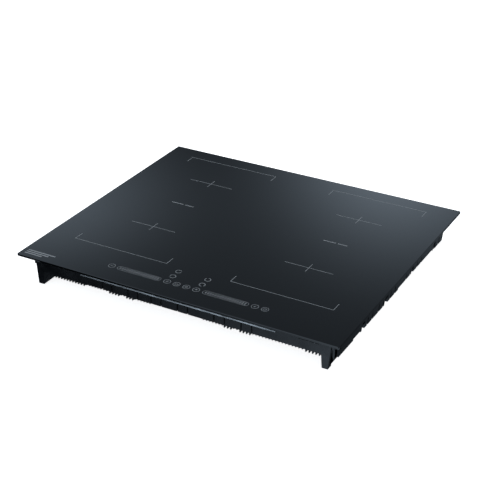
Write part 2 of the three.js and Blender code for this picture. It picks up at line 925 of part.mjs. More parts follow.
function terminalCover() {
  const x0 = terminalOpeningLeft - coverOverlap;
  const x1 = terminalOpeningRight + coverOverlap;
  const inner = recessWallBack + touch;
  const bottom = terminalOpeningBottom - coverOverlap;
  const plate = block(x0, x1, inner, inner + coverThickness, bottom, hingeZ);
  const knuckle = crossRod(coverKnuckleRadius, hingeY, hingeZ, x0, x1, smallRound);
  const pull = block(
    x0 + coverPullInset,
    x1 - coverPullInset,
    inner,
    inner + coverThickness + coverPullReach,
    bottom,
    bottom + coverPullHeight,
  );
  const middle = (x0 + x1) / 2;
  return without(joined([plate, knuckle, pull]), [
    crossRod(hingePinRadius + touch, hingeY, hingeZ, -far, far, smallRound),
    depthRod(coverNotchRadius, middle, bottom, -far, far, mediumRound),
    block(-far, far, -far, inner, -far, far),
  ]);
}

function hingePin() {
  const reach = coverOverlap + touch + hingeEarWidth;
  const x0 = terminalOpeningLeft - reach;
  const x1 = terminalOpeningRight + reach;
  return crossRod(hingePinRadius, hingeY, hingeZ, x0, x1, smallRound);
}

function cableGrommet() {
  const inside = recessWallFront - touch;
  const outside = recessWallBack + touch;
  const body = turned(
    [
      [grommetBore, inside - grommetLip],
      [grommetLipRadius, inside - grommetLip],
      [grommetLipRadius, inside],
      [inletRadius - touch, inside],
      [inletRadius - touch, outside],
      [grommetLipRadius, outside],
      [grommetLipRadius, outside + grommetLip],
      [grommetBore, outside + grommetLip],
      [grommetBore, inside - grommetLip],
    ],
    mediumRound,
  );
  return body.rotate([-90, 0, 0]).translate([inletX, 0, inletZ]);
}

function trayScrew() {
  const headBottom = counterboreDepth - touch - screwHeadHeight;
  const shankTop = frameBottom + frameLugThickness + screwTipPast;
  const slotTopZ = headBottom + screwSlotDepth;
  const half = screwSlotWidth / 2;
  const head = rod(screwHeadRadius, 0, 0, headBottom, headBottom + screwHeadHeight, smallRound);
  const shank = rod(screwShankRadius, 0, 0, slotTopZ, shankTop, smallRound);
  const slotCut = block(-half, half, -far, far, -far, slotTopZ);
  const crossCut = block(-far, far, -half, half, -far, slotTopZ);
  return without(joined([head, shank]), [slotCut, crossCut]);
}

// ---------------------------------------------------------------- coils and their sprung carriers

function coilPlate(sign) {
  const ends = [sign * plateCentreInset, sign * plateOuterX].sort((a, b) => a - b);
  const sheet = block(ends[0], ends[1], plateFront, plateBack, plateBottom, plateTop);
  const upstand = block(
    ends[0],
    ends[1],
    plateFront,
    plateFront + plateThickness,
    plateBottom,
    plateTop + plateFlangeHeight,
  );
  const rearUpstand = block(
    ends[0],
    ends[1],
    plateBack - plateThickness,
    plateBack,
    plateBottom,
    plateTop + plateFlangeHeight,
  );
  const holes = [frontCoilY, rearCoilY].map((y) =>
    rod(ferriteRingInner, sign * coilX, y, -far, far, mediumRound));
  return without(joined([sheet, upstand, rearUpstand]), holes);
}

function coilFormer() {
  const rimOuter = coilRadius - formerEdgeGap;
  const rimInner = rimOuter - formerRim;
  const hub = formerHubRadius - formerHubWall;
  const disc = turned(
    [
      [sensorRadius + touch, formerBottom],
      [rimOuter, formerBottom],
      [rimOuter, formerTop + formerRimHeight],
      [rimInner, formerTop + formerRimHeight],
      [rimInner, formerTop],
      [formerHubRadius, formerTop],
      [formerHubRadius, formerTop + formerHubHeight],
      [hub, formerTop + formerHubHeight],
      [hub, formerTop],
      [sensorRadius + touch, formerTop],
      [sensorRadius + touch, formerBottom],
    ],
    largeRound,
  );
  const windows = [];
  const middle = (windingInnerRadius + rimInner) / 2;
  const size = (rimInner - windingInnerRadius) / 2 - formerWindowMargin;
  const half = formerWindowWidth / 2;
  for (let i = 0; i < ferriteCount; i += 1) {
    const angle = ((i + 0.5) / ferriteCount) * 360;
    const slot = block(middle - size, middle + size, -half, half, formerBottom - touch, formerTop + touch);
    windows.push(slot.rotate([0, 0, angle]));
  }
  return without(disc, windows);
}

function coilWinding() {
  const outer = coilRadius - formerEdgeGap - formerRim - windingSideGap;
  const gapInner = windingGapRadius - windingGapWidth / 2;
  const gapOuter = windingGapRadius + windingGapWidth / 2;
  const grooveBottom = windingTop - windingGrooveDepth;
  return turned(
    [
      [windingInnerRadius, windingBottom],
      [outer, windingBottom],
      [outer, windingTop],
      [gapOuter, windingTop],
      [gapOuter, grooveBottom],
      [gapInner, grooveBottom],
      [gapInner, windingTop],
      [windingInnerRadius, windingTop],
      [windingInnerRadius, windingBottom],
    ],
    largeRound,
  );
}

function ferriteStar() {
  const hub = turned(ringProfile(ferriteRingInner, ferriteRingOuter, ferriteBottom, ferriteTop), mediumRound);
  const reach = coilRadius - formerRim - ferriteEndInset;
  const start = (ferriteRingInner + ferriteRingOuter) / 2;
  const half = ferriteWidth / 2;
  const bars = [];
  for (let i = 0; i < ferriteCount; i += 1) {
    const bar = block(start, reach, -half, half, ferriteBottom, ferriteTop);
    bars.push(bar.rotate([0, 0, (i / ferriteCount) * 360]));
  }
  return joined([hub, ...bars]);
}

function micaDisc() {
  const inner = sensorFlangeRadius + micaHoleGap;
  const outer = coilRadius - micaEdgeInset;
  return turned(ringProfile(inner, outer, micaBottom, micaTop), largeRound);
}

function temperatureSensor() {
  const flangeBottom = formerTop + touch;
  const flangeTop = flangeBottom + sensorFlangeHeight;
  return turned(
    [
      [0, flangeBottom - sensorStemBelow],
      [sensorRadius, flangeBottom - sensorStemBelow],
      [sensorRadius, flangeBottom],
      [sensorFlangeRadius, flangeBottom],
      [sensorFlangeRadius, flangeTop],
      [sensorTipRadius, flangeTop],
      [sensorTipRadius, micaTop],
      [0, micaTop],
    ],
    mediumRound,
  );
}

function carrierSpring() {
  return turned(ringProfile(springInnerRadius, springOuterRadius, springBottom, springTop), mediumRound);
}

function addCoilCarriers() {
  const coils = [
    { name: 'front', y: frontCoilY },
    { name: 'rear', y: rearCoilY },
  ];
  const former = coilFormer();
  const winding = coilWinding();
  const ferrite = ferriteStar();
  const mica = micaDisc();
  const sensor = temperatureSensor();
  const spring = carrierSpring();
  sides.forEach((side) => {
    addPart(hob, `coil_plate_${side.name}`, coilPlate(side.sign), looks.aluminium);
    coils.forEach((coil) => {
      const label = `${coil.name}_${side.name}`;
      const spot = place(hob, side.sign * coilX, coil.y, 0);
      addPart(spot, `ferrite_star_${label}`, ferrite, looks.ferrite);
      addPart(spot, `coil_former_${label}`, former, looks.former);
      addPart(spot, `coil_winding_${label}`, winding, looks.copper);
      addPart(spot, `mica_disc_${label}`, mica, looks.mica);
      addPart(spot, `temperature_sensor_${label}`, sensor, looks.steel);
    });
    postPlaces.forEach((post) => {
      const spot = place(hob, side.sign * post.x, post.y, 0);
      addPart(spot, `carrier_spring_${side.name}_${post.name}`, spring, looks.steel);
    });
  });
}

// ---------------------------------------------------------------- power electronics

function heatSink() {
  const depth = heatSinkBack - heatSinkFront;
  const half = heatSinkWidth / 2;
  const pitch = (heatSinkWidth - heatSinkFinThickness) / (heatSinkFinCount - 1);
  const base = block(-half, half, 0, depth, 0, heatSinkBase);
  const fins = [];
  for (let i = 0; i < heatSinkFinCount; i += 1) {
    const x = -half + i * pitch;
    fins.push(block(x, x + heatSinkFinThickness, 0, depth, heatSinkBase / 2, heatSinkHeight));
  }
  return joined([base, ...fins]);
}

function capacitor() {
  const halfX = capacitorWidth / 2;
  const halfY = capacitorDepth / 2;
  const outline = roundedOutline(-halfX, halfX, -halfY, halfY, capacitorRound);
  return prism(outline, 0, capacitorHeight, smallCornerFacets);
}

function toroidChoke() {
  const edge = chokeEdge;
  const inner = chokeInnerRadius;
  const outer = chokeOuterRadius;
  const top = chokeHeight;
  return turned(
    [
      [inner + edge, 0],
      [outer - edge, 0],
      [outer, edge],
      [outer, top - edge],
      [outer - edge, top],
      [inner + edge, top],
      [inner, top - edge],
      [inner, edge],
      [inner + edge, 0],
    ],
    mediumRound,
  );
}

function blowerHousing() {
  const half = blowerSize / 2;
  const top = blowerHeight;
  const outletZ0 = blowerWall + blowerOutletSill;
  const outletZ1 = top - blowerWall;
  const shell = without(prism(roundedOutline(-half, half, -half, half, blowerCornerRadius), 0, top), [
    rod(blowerCavityRadius, 0, 0, blowerWall, top - blowerWall, largeRound),
    rod(rotorRadius - blowerTopHoleInset, 0, 0, top / 2, far, largeRound),
    rod(blowerIntakeRadius, 0, 0, -far, top / 2, mediumRound),
    block(-blowerOutletHalfWidth, blowerOutletHalfWidth, -far, 0, outletZ0, outletZ1),
  ]);
  const motor = rod(blowerMotorRadius, 0, 0, 0, blowerWall + blowerMotorHeight, mediumRound);
  const reach = blowerIntakeRadius + blowerSpokeOverlap;
  const spokes = [];
  for (let i = 0; i < blowerSpokeCount; i += 1) {
    const spoke = block(0, reach, -blowerSpokeWidth / 2, blowerSpokeWidth / 2, 0, blowerWall);
    spokes.push(spoke.rotate([0, 0, (i / blowerSpokeCount) * 360]));
  }
  return joined([shell, motor, ...spokes]);
}

function blowerRotor() {
  const bottom = blowerWall + blowerMotorHeight + runningGap;
  const top = blowerHeight - blowerWall - runningGap;
  const disc = rod(rotorRadius, 0, 0, bottom, bottom + rotorDisc, largeRound);
  const hub = rod(rotorHubRadius, 0, 0, bottom, top - rotorHubDrop, mediumRound);
  const long = rotorBladeLength / 2;
  const wide = rotorBladeThickness / 2;
  const middle = rotorRadius - rotorBladeInset;
  const blades = [];
  for (let i = 0; i < rotorBladeCount; i += 1) {
    const blade = block(-long, long, -wide, wide, bottom + rotorDisc / 2, top);
    const turn = (i / rotorBladeCount) * 360;
    const leaning = blade.rotate([0, 0, rotorBladeLeanDegrees]);
    blades.push(leaning.translate([middle, 0, 0]).rotate([0, 0, turn]));
  }
  return joined([disc, hub, ...blades]);
}

function addPowerSides() {
  const sink = heatSink();
  const film = capacitor();
  const choke = toroidChoke();
  const housing = blowerHousing();
  const rotor = blowerRotor();
  const boardMiddle = (boardInnerX + boardOuterX) / 2;
  sides.forEach((side) => {
    const ends = [side.sign * boardInnerX, side.sign * boardOuterX].sort((a, b) => a - b);
    const board = block(ends[0], ends[1], boardFront, boardBack, boardBottom, boardTop);
    addPart(hob, `power_board_${side.name}`, board, looks.board);
    const sinkSpot = place(hob, side.sign * blowerX, heatSinkFront, partsBottom);
    addPart(sinkSpot, `heat_sink_${side.name}`, sink, looks.aluminium);
    const partsY = boardFront + frontComponentZone / 2;
    const filmSpot = place(hob, side.sign * (boardMiddle - capacitorOffset), partsY, partsBottom);
    addPart(filmSpot, `film_capacitor_${side.name}`, film, looks.capacitor);
    const chokeSpot = place(hob, side.sign * (boardMiddle + chokeOffset), partsY, partsBottom);
    addPart(chokeSpot, `toroid_choke_${side.name}`, choke, looks.choke);
    const blowerSpot = place(hob, side.sign * blowerX, blowerY, blowerBottom);
    addPart(blowerSpot, `blower_housing_${side.name}`, housing, looks.blower);
    addPart(blowerSpot, `blower_rotor_${side.name}`, rotor, looks.blower);
  });
}

// ---------------------------------------------------------------- mains filter and terminals

function terminalBlock() {
  const half = (terminalPoleCount * terminalPolePitch) / 2;
  const depth = terminalBlockDepth;
  const top = terminalBlockHeight;
  const cuts = [];
  for (let i = 0; i < terminalPoleCount; i += 1) {
    const x = -half + (i + 0.5) * terminalPolePitch;
    const screwY = depth * terminalScrewShare;
    const wireZ = top * terminalWireShare;
    cuts.push(rod(terminalScrewRadius, x, screwY, top - terminalScrewDepth, far, smallRound));
    cuts.push(depthRod(terminalWireRadius, x, wireZ, depth - terminalWireDepth, far, smallRound));
  }
  return without(block(-half, half, 0, depth, 0, top), cuts);
}

function addMainsFilter() {
  const board = block(-filterHalf, filterHalf, filterFront, filterBack, boardBottom, boardTop);
  addPart(hob, 'filter_board', board, looks.board);
  const terminalX = (terminalOpeningLeft + terminalOpeningRight) / 2;
  const terminalSpot = place(hob, terminalX, filterBack - terminalBlockDepth, partsBottom);
  addPart(terminalSpot, 'terminal_block', terminalBlock(), looks.terminal);
  const halfX = filterChokeWidth / 2;
  const halfY = filterChokeDepth / 2;
  const body = prism(roundedOutline(-halfX, halfX, -halfY, halfY, filterChokeRound), 0, filterChokeHeight);
  const windowHalfX = halfX - filterChokeLimb;
  const windowTop = filterChokeHeight - filterChokeYoke;
  const window = block(-windowHalfX, windowHalfX, -far, far, filterChokeYoke, windowTop);
  const chokeSpot = place(hob, 0, filterFront + halfY + filterChokeFrontGap, partsBottom);
  addPart(chokeSpot, 'filter_choke', body.subtract(window), looks.choke);
}

// ---------------------------------------------------------------- touch control

function controlCarrier() {
  const back = windowFront + controlDepth - touch;
  const front = windowFront + touch;
  const top = frameTop;
  const bottom = top - carrierHeight;
  const w = carrierWall;
  const roof = stepHeight + trayFloor;
  const tub = block(-controlHalfWidth, controlHalfWidth, front, back, bottom, top).subtract(
    block(-controlHalfWidth + w, controlHalfWidth - w, front + w, back - w, bottom + carrierFloor, far),
  );
  const legs = carrierLegX.map((x) =>
    rod(carrierLegRadius, x, front + carrierLegY, roof + touch, bottom + carrierFloor / 2, smallRound));
  return joined([tub, ...legs]);
}

function addControls() {
  addPart(hob, 'control_carrier', controlCarrier(), looks.former);
  const inset = carrierWall + controlBoardGap;
  const halfX = controlHalfWidth - inset;
  const front = windowFront + touch + inset;
  const back = windowFront + controlDepth - touch - inset;
  const bottom = frameTop - carrierHeight + carrierFloor + touch;
  const top = bottom + boardThickness;
  addPart(hob, 'control_board', block(-halfX, halfX, front, back, bottom, top), looks.board);
  sides.forEach((side) => {
    const spot = place(hob, side.sign * ledBarX, windowFront + ledBarY, top + touch);
    const half = ledBarLength / 2;
    const bar = block(-half, half, -ledBarDepth / 2, ledBarDepth / 2, 0, ledBarHeight);
    addPart(spot, `slider_led_bar_${side.name}`, bar, looks.led);
  });
}

// ---------------------------------------------------------------- the whole hob

addPart(hob, 'glass_top', glassTop(), looks.glass);
addPart(hob, 'glass_seal', glassSeal(), looks.foam);
addPart(hob, 'support_frame', supportFrame(), looks.frame);
addPart(hob, 'base_tray', baseTray(), looks.tray);
addPart(hob, 'terminal_cover', terminalCover(), looks.frame);
addPart(hob, 'terminal_hinge_pin', hingePin(), looks.steel);
addPart(hob, 'cable_grommet', cableGrommet(), looks.rubber);
cornerBosses.forEach((boss) => {
  const spot = place(hob, boss.x, boss.y, 0);
  addPart(spot, `tray_screw_${boss.name}`, trayScrew(), looks.steel);
});
addCoilCarriers();
addPowerSides();
addMainsFilter();
addControls();

export default hob;
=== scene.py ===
import json
import math

import bmesh
import bpy
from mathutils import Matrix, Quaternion, Vector


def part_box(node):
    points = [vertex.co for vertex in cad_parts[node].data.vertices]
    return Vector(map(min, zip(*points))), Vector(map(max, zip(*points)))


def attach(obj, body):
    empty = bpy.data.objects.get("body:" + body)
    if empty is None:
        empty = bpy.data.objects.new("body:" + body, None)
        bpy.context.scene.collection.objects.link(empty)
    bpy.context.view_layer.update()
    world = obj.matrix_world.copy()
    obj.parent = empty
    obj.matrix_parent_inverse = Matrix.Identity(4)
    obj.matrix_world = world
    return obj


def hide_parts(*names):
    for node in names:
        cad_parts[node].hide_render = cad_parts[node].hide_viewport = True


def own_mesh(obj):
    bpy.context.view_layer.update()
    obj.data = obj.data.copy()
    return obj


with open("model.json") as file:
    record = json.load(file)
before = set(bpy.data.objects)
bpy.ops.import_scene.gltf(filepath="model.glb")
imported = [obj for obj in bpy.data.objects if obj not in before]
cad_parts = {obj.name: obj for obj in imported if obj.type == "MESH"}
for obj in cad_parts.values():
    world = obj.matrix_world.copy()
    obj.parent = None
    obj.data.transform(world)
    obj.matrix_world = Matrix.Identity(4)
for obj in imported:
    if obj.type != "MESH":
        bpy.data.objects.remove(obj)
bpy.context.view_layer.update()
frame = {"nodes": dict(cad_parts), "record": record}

MM = 0.001
NODES = frame["nodes"]
SIDES = (("left", -1), ("right", 1))
ROWS = ("front", "rear")


# ---- node materials

NOISE_BAND = (0.3, 0.7)
WIDE_BAND = (0.25, 0.75)
NARROW_BAND = (0.35, 0.65)
EDGE_BAND = (0.995, 0.86)


class Tree:
    """Short calls for building a node tree."""

    def __init__(self, tree):
        self.tree = tree
        self.coords = None

    def add(self, kind, **settings):
        node = self.tree.nodes.new(kind)
        for name, value in settings.items():
            setattr(node, name, value)
        return node

    def put(self, socket, value):
        if isinstance(value, bpy.types.NodeSocket):
            self.tree.links.new(value, socket)
        else:
            socket.default_value = value

    def fill(self, node, values):
        """Sets or links the named inputs of a node, and returns its outputs."""
        for name, value in values.items():
            self.put(node.inputs[name], value)
        return node.outputs

    def math(self, operation, a, b=0.0, clamp=False):
        node = self.add("ShaderNodeMath", operation=operation, use_clamp=clamp)
        self.put(node.inputs[0], a)
        self.put(node.inputs[1], b)
        return node.outputs[0]

    def vector(self, operation, a, b):
        node = self.add("ShaderNodeVectorMath", operation=operation)
        self.put(node.inputs[0], a)
        self.put(node.inputs[1], b)
        return node.outputs["Value" if operation == "DOT_PRODUCT" else "Vector"]

    def here(self):
        if self.coords is None:
            self.coords = self.add("ShaderNodeTexCoord").outputs["Object"]
        return self.coords

    def stretched(self, scale):
        return self.vector("MULTIPLY", self.here(), scale)

    def split(self, value):
        node = self.add("ShaderNodeSeparateXYZ")
        self.put(node.inputs[0], value)
        return node.outputs

    def noise(self, scale, detail=3.0, roughness=0.5, where=None):
        place = self.here() if where is None else where
        values = {"Vector": place, "Scale": scale, "Detail": detail, "Roughness": roughness}
        return self.fill(self.add("ShaderNodeTexNoise"), values)["Fac"]

    def cells(self, where, scale=1.0, randomness=1.0, metric="EUCLIDEAN"):
        """Cells round scattered points, each with a distance and a colour of its own."""
        node = self.add("ShaderNodeTexVoronoi", distance=metric, feature="F1")
        return self.fill(node, {"Vector": where, "Scale": scale, "Randomness": randomness})

    def span(self, value, low, high, out_low=0.0, out_high=1.0):
        values = {"Value": value, "From Min": low, "From Max": high, "To Min": out_low, "To Max": out_high}
        return self.fill(self.add("ShaderNodeMapRange"), values)["Result"]

    def mix(self, share, a, b):
        node = self.add("ShaderNodeMix", data_type="RGBA")
        return self.fill(node, {"Factor": share, "A": a, "B": b})["Result"]

    def either(self, share, first, second):
        node = self.add("ShaderNodeMixShader")
        for socket, value in zip(node.inputs, (share, first, second)):
            self.put(socket, value)
        return node.outputs[0]

    def bump(self, height, strength, distance, under=None):
        values = {"Strength": strength, "Distance": distance, "Height": height}
        if under is not None:
            values["Normal"] = under
        return self.fill(self.add("ShaderNodeBump"), values)["Normal"]

    def edges(self, radius):
        """1 along sharp edges and 0 on open faces."""
        bevel = self.add("ShaderNodeBevel", samples=4)
        bevel.inputs["Radius"].default_value = radius
        true = self.add("ShaderNodeNewGeometry").outputs["Normal"]
        return self.span(self.vector("DOT_PRODUCT", bevel.outputs["Normal"], true), *EDGE_BAND)


def rgba(colour, gain=1.0):
    return tuple(min(1.0, channel * gain) for channel in colour) + (1.0,)


def new_look(name):
    """A node material, with its tree and its main shader."""
    made = bpy.data.materials.new(name)
    made.use_nodes = True
    return made, Tree(made.node_tree), made.node_tree.nodes["Principled BSDF"]


def new_object(name, data):
    made = bpy.data.objects.new(name, data)
    bpy.context.scene.collection.objects.link(made)
    return made


IOR = 1.5
COAT_ROUGH = 0.12
ROUGH_SPAN = 0.08
ROUGH_SCALE = 2.3
BRUSH_SPAN = 0.06
GRAIN_STRENGTH = 0.6
WEAR_RADIUS = 0.0004
WEAR_SCALE = 420.0
WEAR_LEAST = 0.25
WEAR_ROUGH = 0.12
WORN_BASE = 0.04
WORN_GAIN = 1.9


def surface(
    name,
    colour,
    rough,
    metal=0.0,
    coat=0.0,
    sheen=0.0,
    blotch=30.0,
    tint=0.18,
    grain=2500.0,
    grain_depth=0.00002,
    brushed=None,
    wear=0.35,
    wear_colour=None,
    pattern=None,
):
    """A material with blotchy colour, uneven roughness, fine grain and worn edges. pattern(tree, base)
    returns the colour, height and depth of what is laid over them."""
    made, t, shader = new_look(name)
    cloud = t.noise(blotch, detail=4.0, roughness=0.6)
    base = t.mix(t.span(cloud, *NOISE_BAND), rgba(colour, 1 - tint), rgba(colour, 1 + tint))
    where = t.stretched(brushed) if brushed else None
    fine = t.noise(1.0 if brushed else grain, detail=2.0, roughness=0.6, where=where)
    haze = t.noise(blotch * ROUGH_SCALE, detail=5.0, roughness=0.65)
    roughness = t.span(haze, *WIDE_BAND, rough - ROUGH_SPAN, rough + ROUGH_SPAN)
    if brushed:
        roughness = t.math("ADD", roughness, t.span(fine, *NOISE_BAND, -BRUSH_SPAN, BRUSH_SPAN))
    normal = t.bump(fine, GRAIN_STRENGTH, grain_depth)
    if pattern:
        base, height, depth = pattern(t, base)
        normal = t.bump(height, 1.0, depth, normal)
    if wear:
        patches = t.noise(WEAR_SCALE, detail=4.0, roughness=0.7)
        worn = t.math("MULTIPLY", t.edges(WEAR_RADIUS), t.span(patches, *NARROW_BAND, WEAR_LEAST, 1.0))
        worn = t.math("MULTIPLY", worn, wear, clamp=True)
        paler = wear_colour or [WORN_BASE + WORN_GAIN * channel for channel in colour]
        base = t.mix(worn, base, rgba(paler))
        roughness = t.math("ADD", roughness, t.math("MULTIPLY", worn, WEAR_ROUGH))
    t.fill(shader, {
        "Base Color": base,
        "Roughness": roughness,
        "Normal": normal,
        "Metallic": metal,
        "IOR": IOR,
        "Coat Weight": coat,
        "Coat Roughness": COAT_ROUGH,
        "Sheen Weight": sheen,
    })
    return made


TRACK_PITCH = 0.0021
TRACK_EDGE = (0.35, 0.5)
TRACK_GREEN = (0.018, 0.12, 0.055, 1.0)
FIELD_GRID = 52.0
FIELD_SHARE = 0.55
PAD_GRID = 230.0
PAD_EDGE = (0.12, 0.16)
PAD_GROUPS = 55.0
PAD_GROUP_EDGE = (0.5, 0.52)
TINNED = (0.45, 0.46, 0.42, 1.0)


def board_pattern(t, base):
    """Solder resist over straight copper tracks that run one way or the other, with tinned pads."""
    spots = t.cells(t.stretched((PAD_GRID, PAD_GRID, 0.0)), randomness=0.55, metric="CHEBYCHEV")
    fields = t.cells(t.stretched((FIELD_GRID, FIELD_GRID, 0.0)), metric="CHEBYCHEV")
    place = t.split(t.here())
    lines = []
    for axis in ("X", "Y"):
        wave = t.math("SINE", t.math("MULTIPLY", place[axis], 2 * math.pi / TRACK_PITCH))
        lines.append(t.span(wave, *TRACK_EDGE))
    first = t.math("GREATER_THAN", t.split(fields["Color"])["X"], FIELD_SHARE)
    second = t.math("SUBTRACT", 1.0, first)
    line = t.math("ADD", t.math("MULTIPLY", lines[0], first), t.math("MULTIPLY", lines[1], second))
    pad = t.span(spots["Distance"], *PAD_EDGE, 1.0, 0.0)
    pad = t.math("MULTIPLY", pad, t.span(t.noise(PAD_GROUPS, detail=0.0), *PAD_GROUP_EDGE))
    colour = t.mix(pad, t.mix(line, base, TRACK_GREEN), TINNED)
    return colour, t.math("MAXIMUM", line, pad), 0.00006


def foam_pattern(t, base):
    """Small open pits, with painted shade that darkens each towards its middle."""
    pit = t.span(t.cells(t.here(), 1400.0)["Distance"], 0.0, 0.55)
    # The near-black colour deep in each pit is painted shade.
    return t.mix(pit, (0.006, 0.006, 0.006, 1.0), base), pit, 0.0002


def wound_pattern(strands, twist, dark):
    """Stranded or wound wire: fine lines that run round a tube, drawn from its own u and v, with painted
    shade in the grooves between them.
    """

    def made(t, base):
        along = t.split(t.add("ShaderNodeUVMap", uv_map="Along").outputs["UV"])
        turned = t.math("MULTIPLY", along["X"], twist)
        phase = t.math("ADD", turned, t.math("MULTIPLY", along["Y"], strands))
        wave = t.math("SINE", t.math("MULTIPLY", phase, 2 * math.pi))
        lift = t.span(wave, -1.0, 0.2)
        # dark is painted shade, laid where the wave is lowest, in the grooves between strands and turns.
        return t.mix(lift, rgba(dark), base), lift, 0.00012

    return made


def mica_pattern(t, base):
    """Flakes, each with a tone of its own."""
    flake = t.split(t.cells(t.here(), 260.0)["Color"])["X"]
    return t.mix(t.span(flake, 0.0, 1.0), base, (0.8, 0.74, 0.6, 1.0)), flake, 0.00003


def glass_material():
    """Black ceramic glass: deep, very smooth, with faint wipe marks in its gloss."""
    made, t, shader = new_look("black_glass_look")
    wipe = t.noise(1.0, detail=5.0, roughness=0.6, where=t.stretched((9.0, 26.0, 9.0)))
    dust = t.span(t.noise(900.0, detail=2.0, roughness=0.7), 0.62, 0.8)
    wave = t.noise(14.0, detail=1.0)
    clear, dusty = (0.0012, 0.0013, 0.0016, 1.0), (0.006, 0.0062, 0.0066, 1.0)
    t.fill(shader, {
        "Base Color": t.mix(dust, clear, dusty),
        "Roughness": t.span(wipe, 0.3, 0.75, 0.035, 0.07),
        "Normal": t.bump(wave, 0.25, 0.00002),
        "IOR": IOR,
    })
    return made


LOOKS = {
    "black_glass": glass_material(),
    "foam_seal": surface("foam_look", (0.02, 0.02, 0.021), 0.93, pattern=foam_pattern, wear=0.0),
    "frame_black": surface(
        "frame_look", (0.012, 0.013, 0.015), 0.34, coat=0.1, grain=1800.0, grain_depth=0.00003, wear=0.3,
        wear_colour=(0.12, 0.12, 0.13)),
    "tray_plastic": surface(
        "tray_look", (0.0045, 0.005, 0.006), 0.24, grain=3200.0, grain_depth=0.000012, blotch=18.0,
        wear=0.1, wear_colour=(0.02, 0.022, 0.026)),
    "cover_plastic": surface("cover_look", (0.014, 0.015, 0.018), 0.42, grain=2600.0, wear=0.35),
    "rubber": surface(
        "rubber_look", (0.011, 0.011, 0.012), 0.78, grain=1500.0, grain_depth=0.00005, sheen=0.15,
        wear=0.2),
    "steel": surface(
        "steel_look", (0.56, 0.57, 0.6), 0.3, metal=1.0, grain=3000.0, wear=0.4,
        wear_colour=(0.8, 0.8, 0.82)),
    "aluminium": surface(
        "aluminium_look", (0.66, 0.67, 0.69), 0.33, metal=1.0, brushed=(40.0, 2600.0, 2600.0), wear=0.4,
        wear_colour=(0.85, 0.86, 0.88)),
    "ferrite": surface(
        "ferrite_look", (0.035, 0.036, 0.039), 0.6, grain=1100.0, grain_depth=0.00006, wear=0.5,
        wear_colour=(0.13, 0.13, 0.135)),
    "former_plastic": surface("former_look", (0.045, 0.047, 0.052), 0.5, grain=2100.0, wear=0.4),
    "copper_litz": surface(
        "litz_look", (0.55, 0.235, 0.11), 0.34, metal=0.85, coat=0.25, wear=0.0,
        # The last colour is painted shade for the grooves between strands.
        pattern=wound_pattern(7.0, 900.0, (0.16, 0.055, 0.025))),
    "mica": surface("mica_look", (0.56, 0.51, 0.4), 0.6, pattern=mica_pattern, wear=0.3),
    "circuit_board": surface(
        "board_look", (0.012, 0.085, 0.04), 0.38, coat=0.3, pattern=board_pattern, wear=0.3,
        wear_colour=(0.3, 0.32, 0.2)),
    "capacitor_red": surface("capacitor_look", (0.3, 0.05, 0.035), 0.33, coat=0.15, wear=0.35),
    "choke_copper": surface(
        "choke_look", (0.5, 0.22, 0.1), 0.3, metal=0.85, coat=0.3, wear=0.0,
        # The last colour is painted shade for the grooves between turns.
        pattern=wound_pattern(1.0, 0.0, (0.3, 0.11, 0.05))),
    "blower_plastic": surface("blower_look", (0.013, 0.0135, 0.015), 0.4, grain=2400.0, wear=0.4),
    "terminal_plastic": surface(
        "terminal_look", (0.62, 0.6, 0.54), 0.45, grain=2000.0, wear=0.3, wear_colour=(0.8, 0.79, 0.74)),
    "led_white": surface(
        "led_look", (0.7, 0.71, 0.73), 0.35, coat=0.2, grain=1600.0, wear=0.3,
        wear_colour=(0.9, 0.9, 0.92)),
    "screen_print": surface(
        "print_look", (0.31, 0.325, 0.34), 0.5, grain=6000.0, grain_depth=0.00001, wear=0.0, tint=0.12,
        blotch=500.0),
}
CORE_LOOK = surface("core_look", (0.04, 0.12, 0.09), 0.55, grain=1500.0, grain_depth=0.00004, wear=0.4)
CHIP_LOOK = surface("package_look", (0.02, 0.02, 0.022), 0.5, grain=3000.0, wear=0.4)
CAN_LOOK = surface("can_look", (0.018, 0.03, 0.075), 0.32, coat=0.3, grain=1500.0, wear=0.3)
TAN_LOOK = surface("resistor_look", (0.42, 0.31, 0.19), 0.5, grain=1800.0, wear=0.25)

SLOTS = {part["node"]: part["material_slot"] for part in frame["record"]["subparts"]}
for node_name, node_object in NODES.items():
    node_object.data.materials.clear()
    node_object.data.materials.append(LOOKS[SLOTS[node_name]])


# ---- mesh makers, in millimetres

MITRE_LEAST = 0.35
WIRE_SMOOTH = 70.0
SCREW_SMOOTH = 35.0
BLOCK_SMOOTH = 30.0


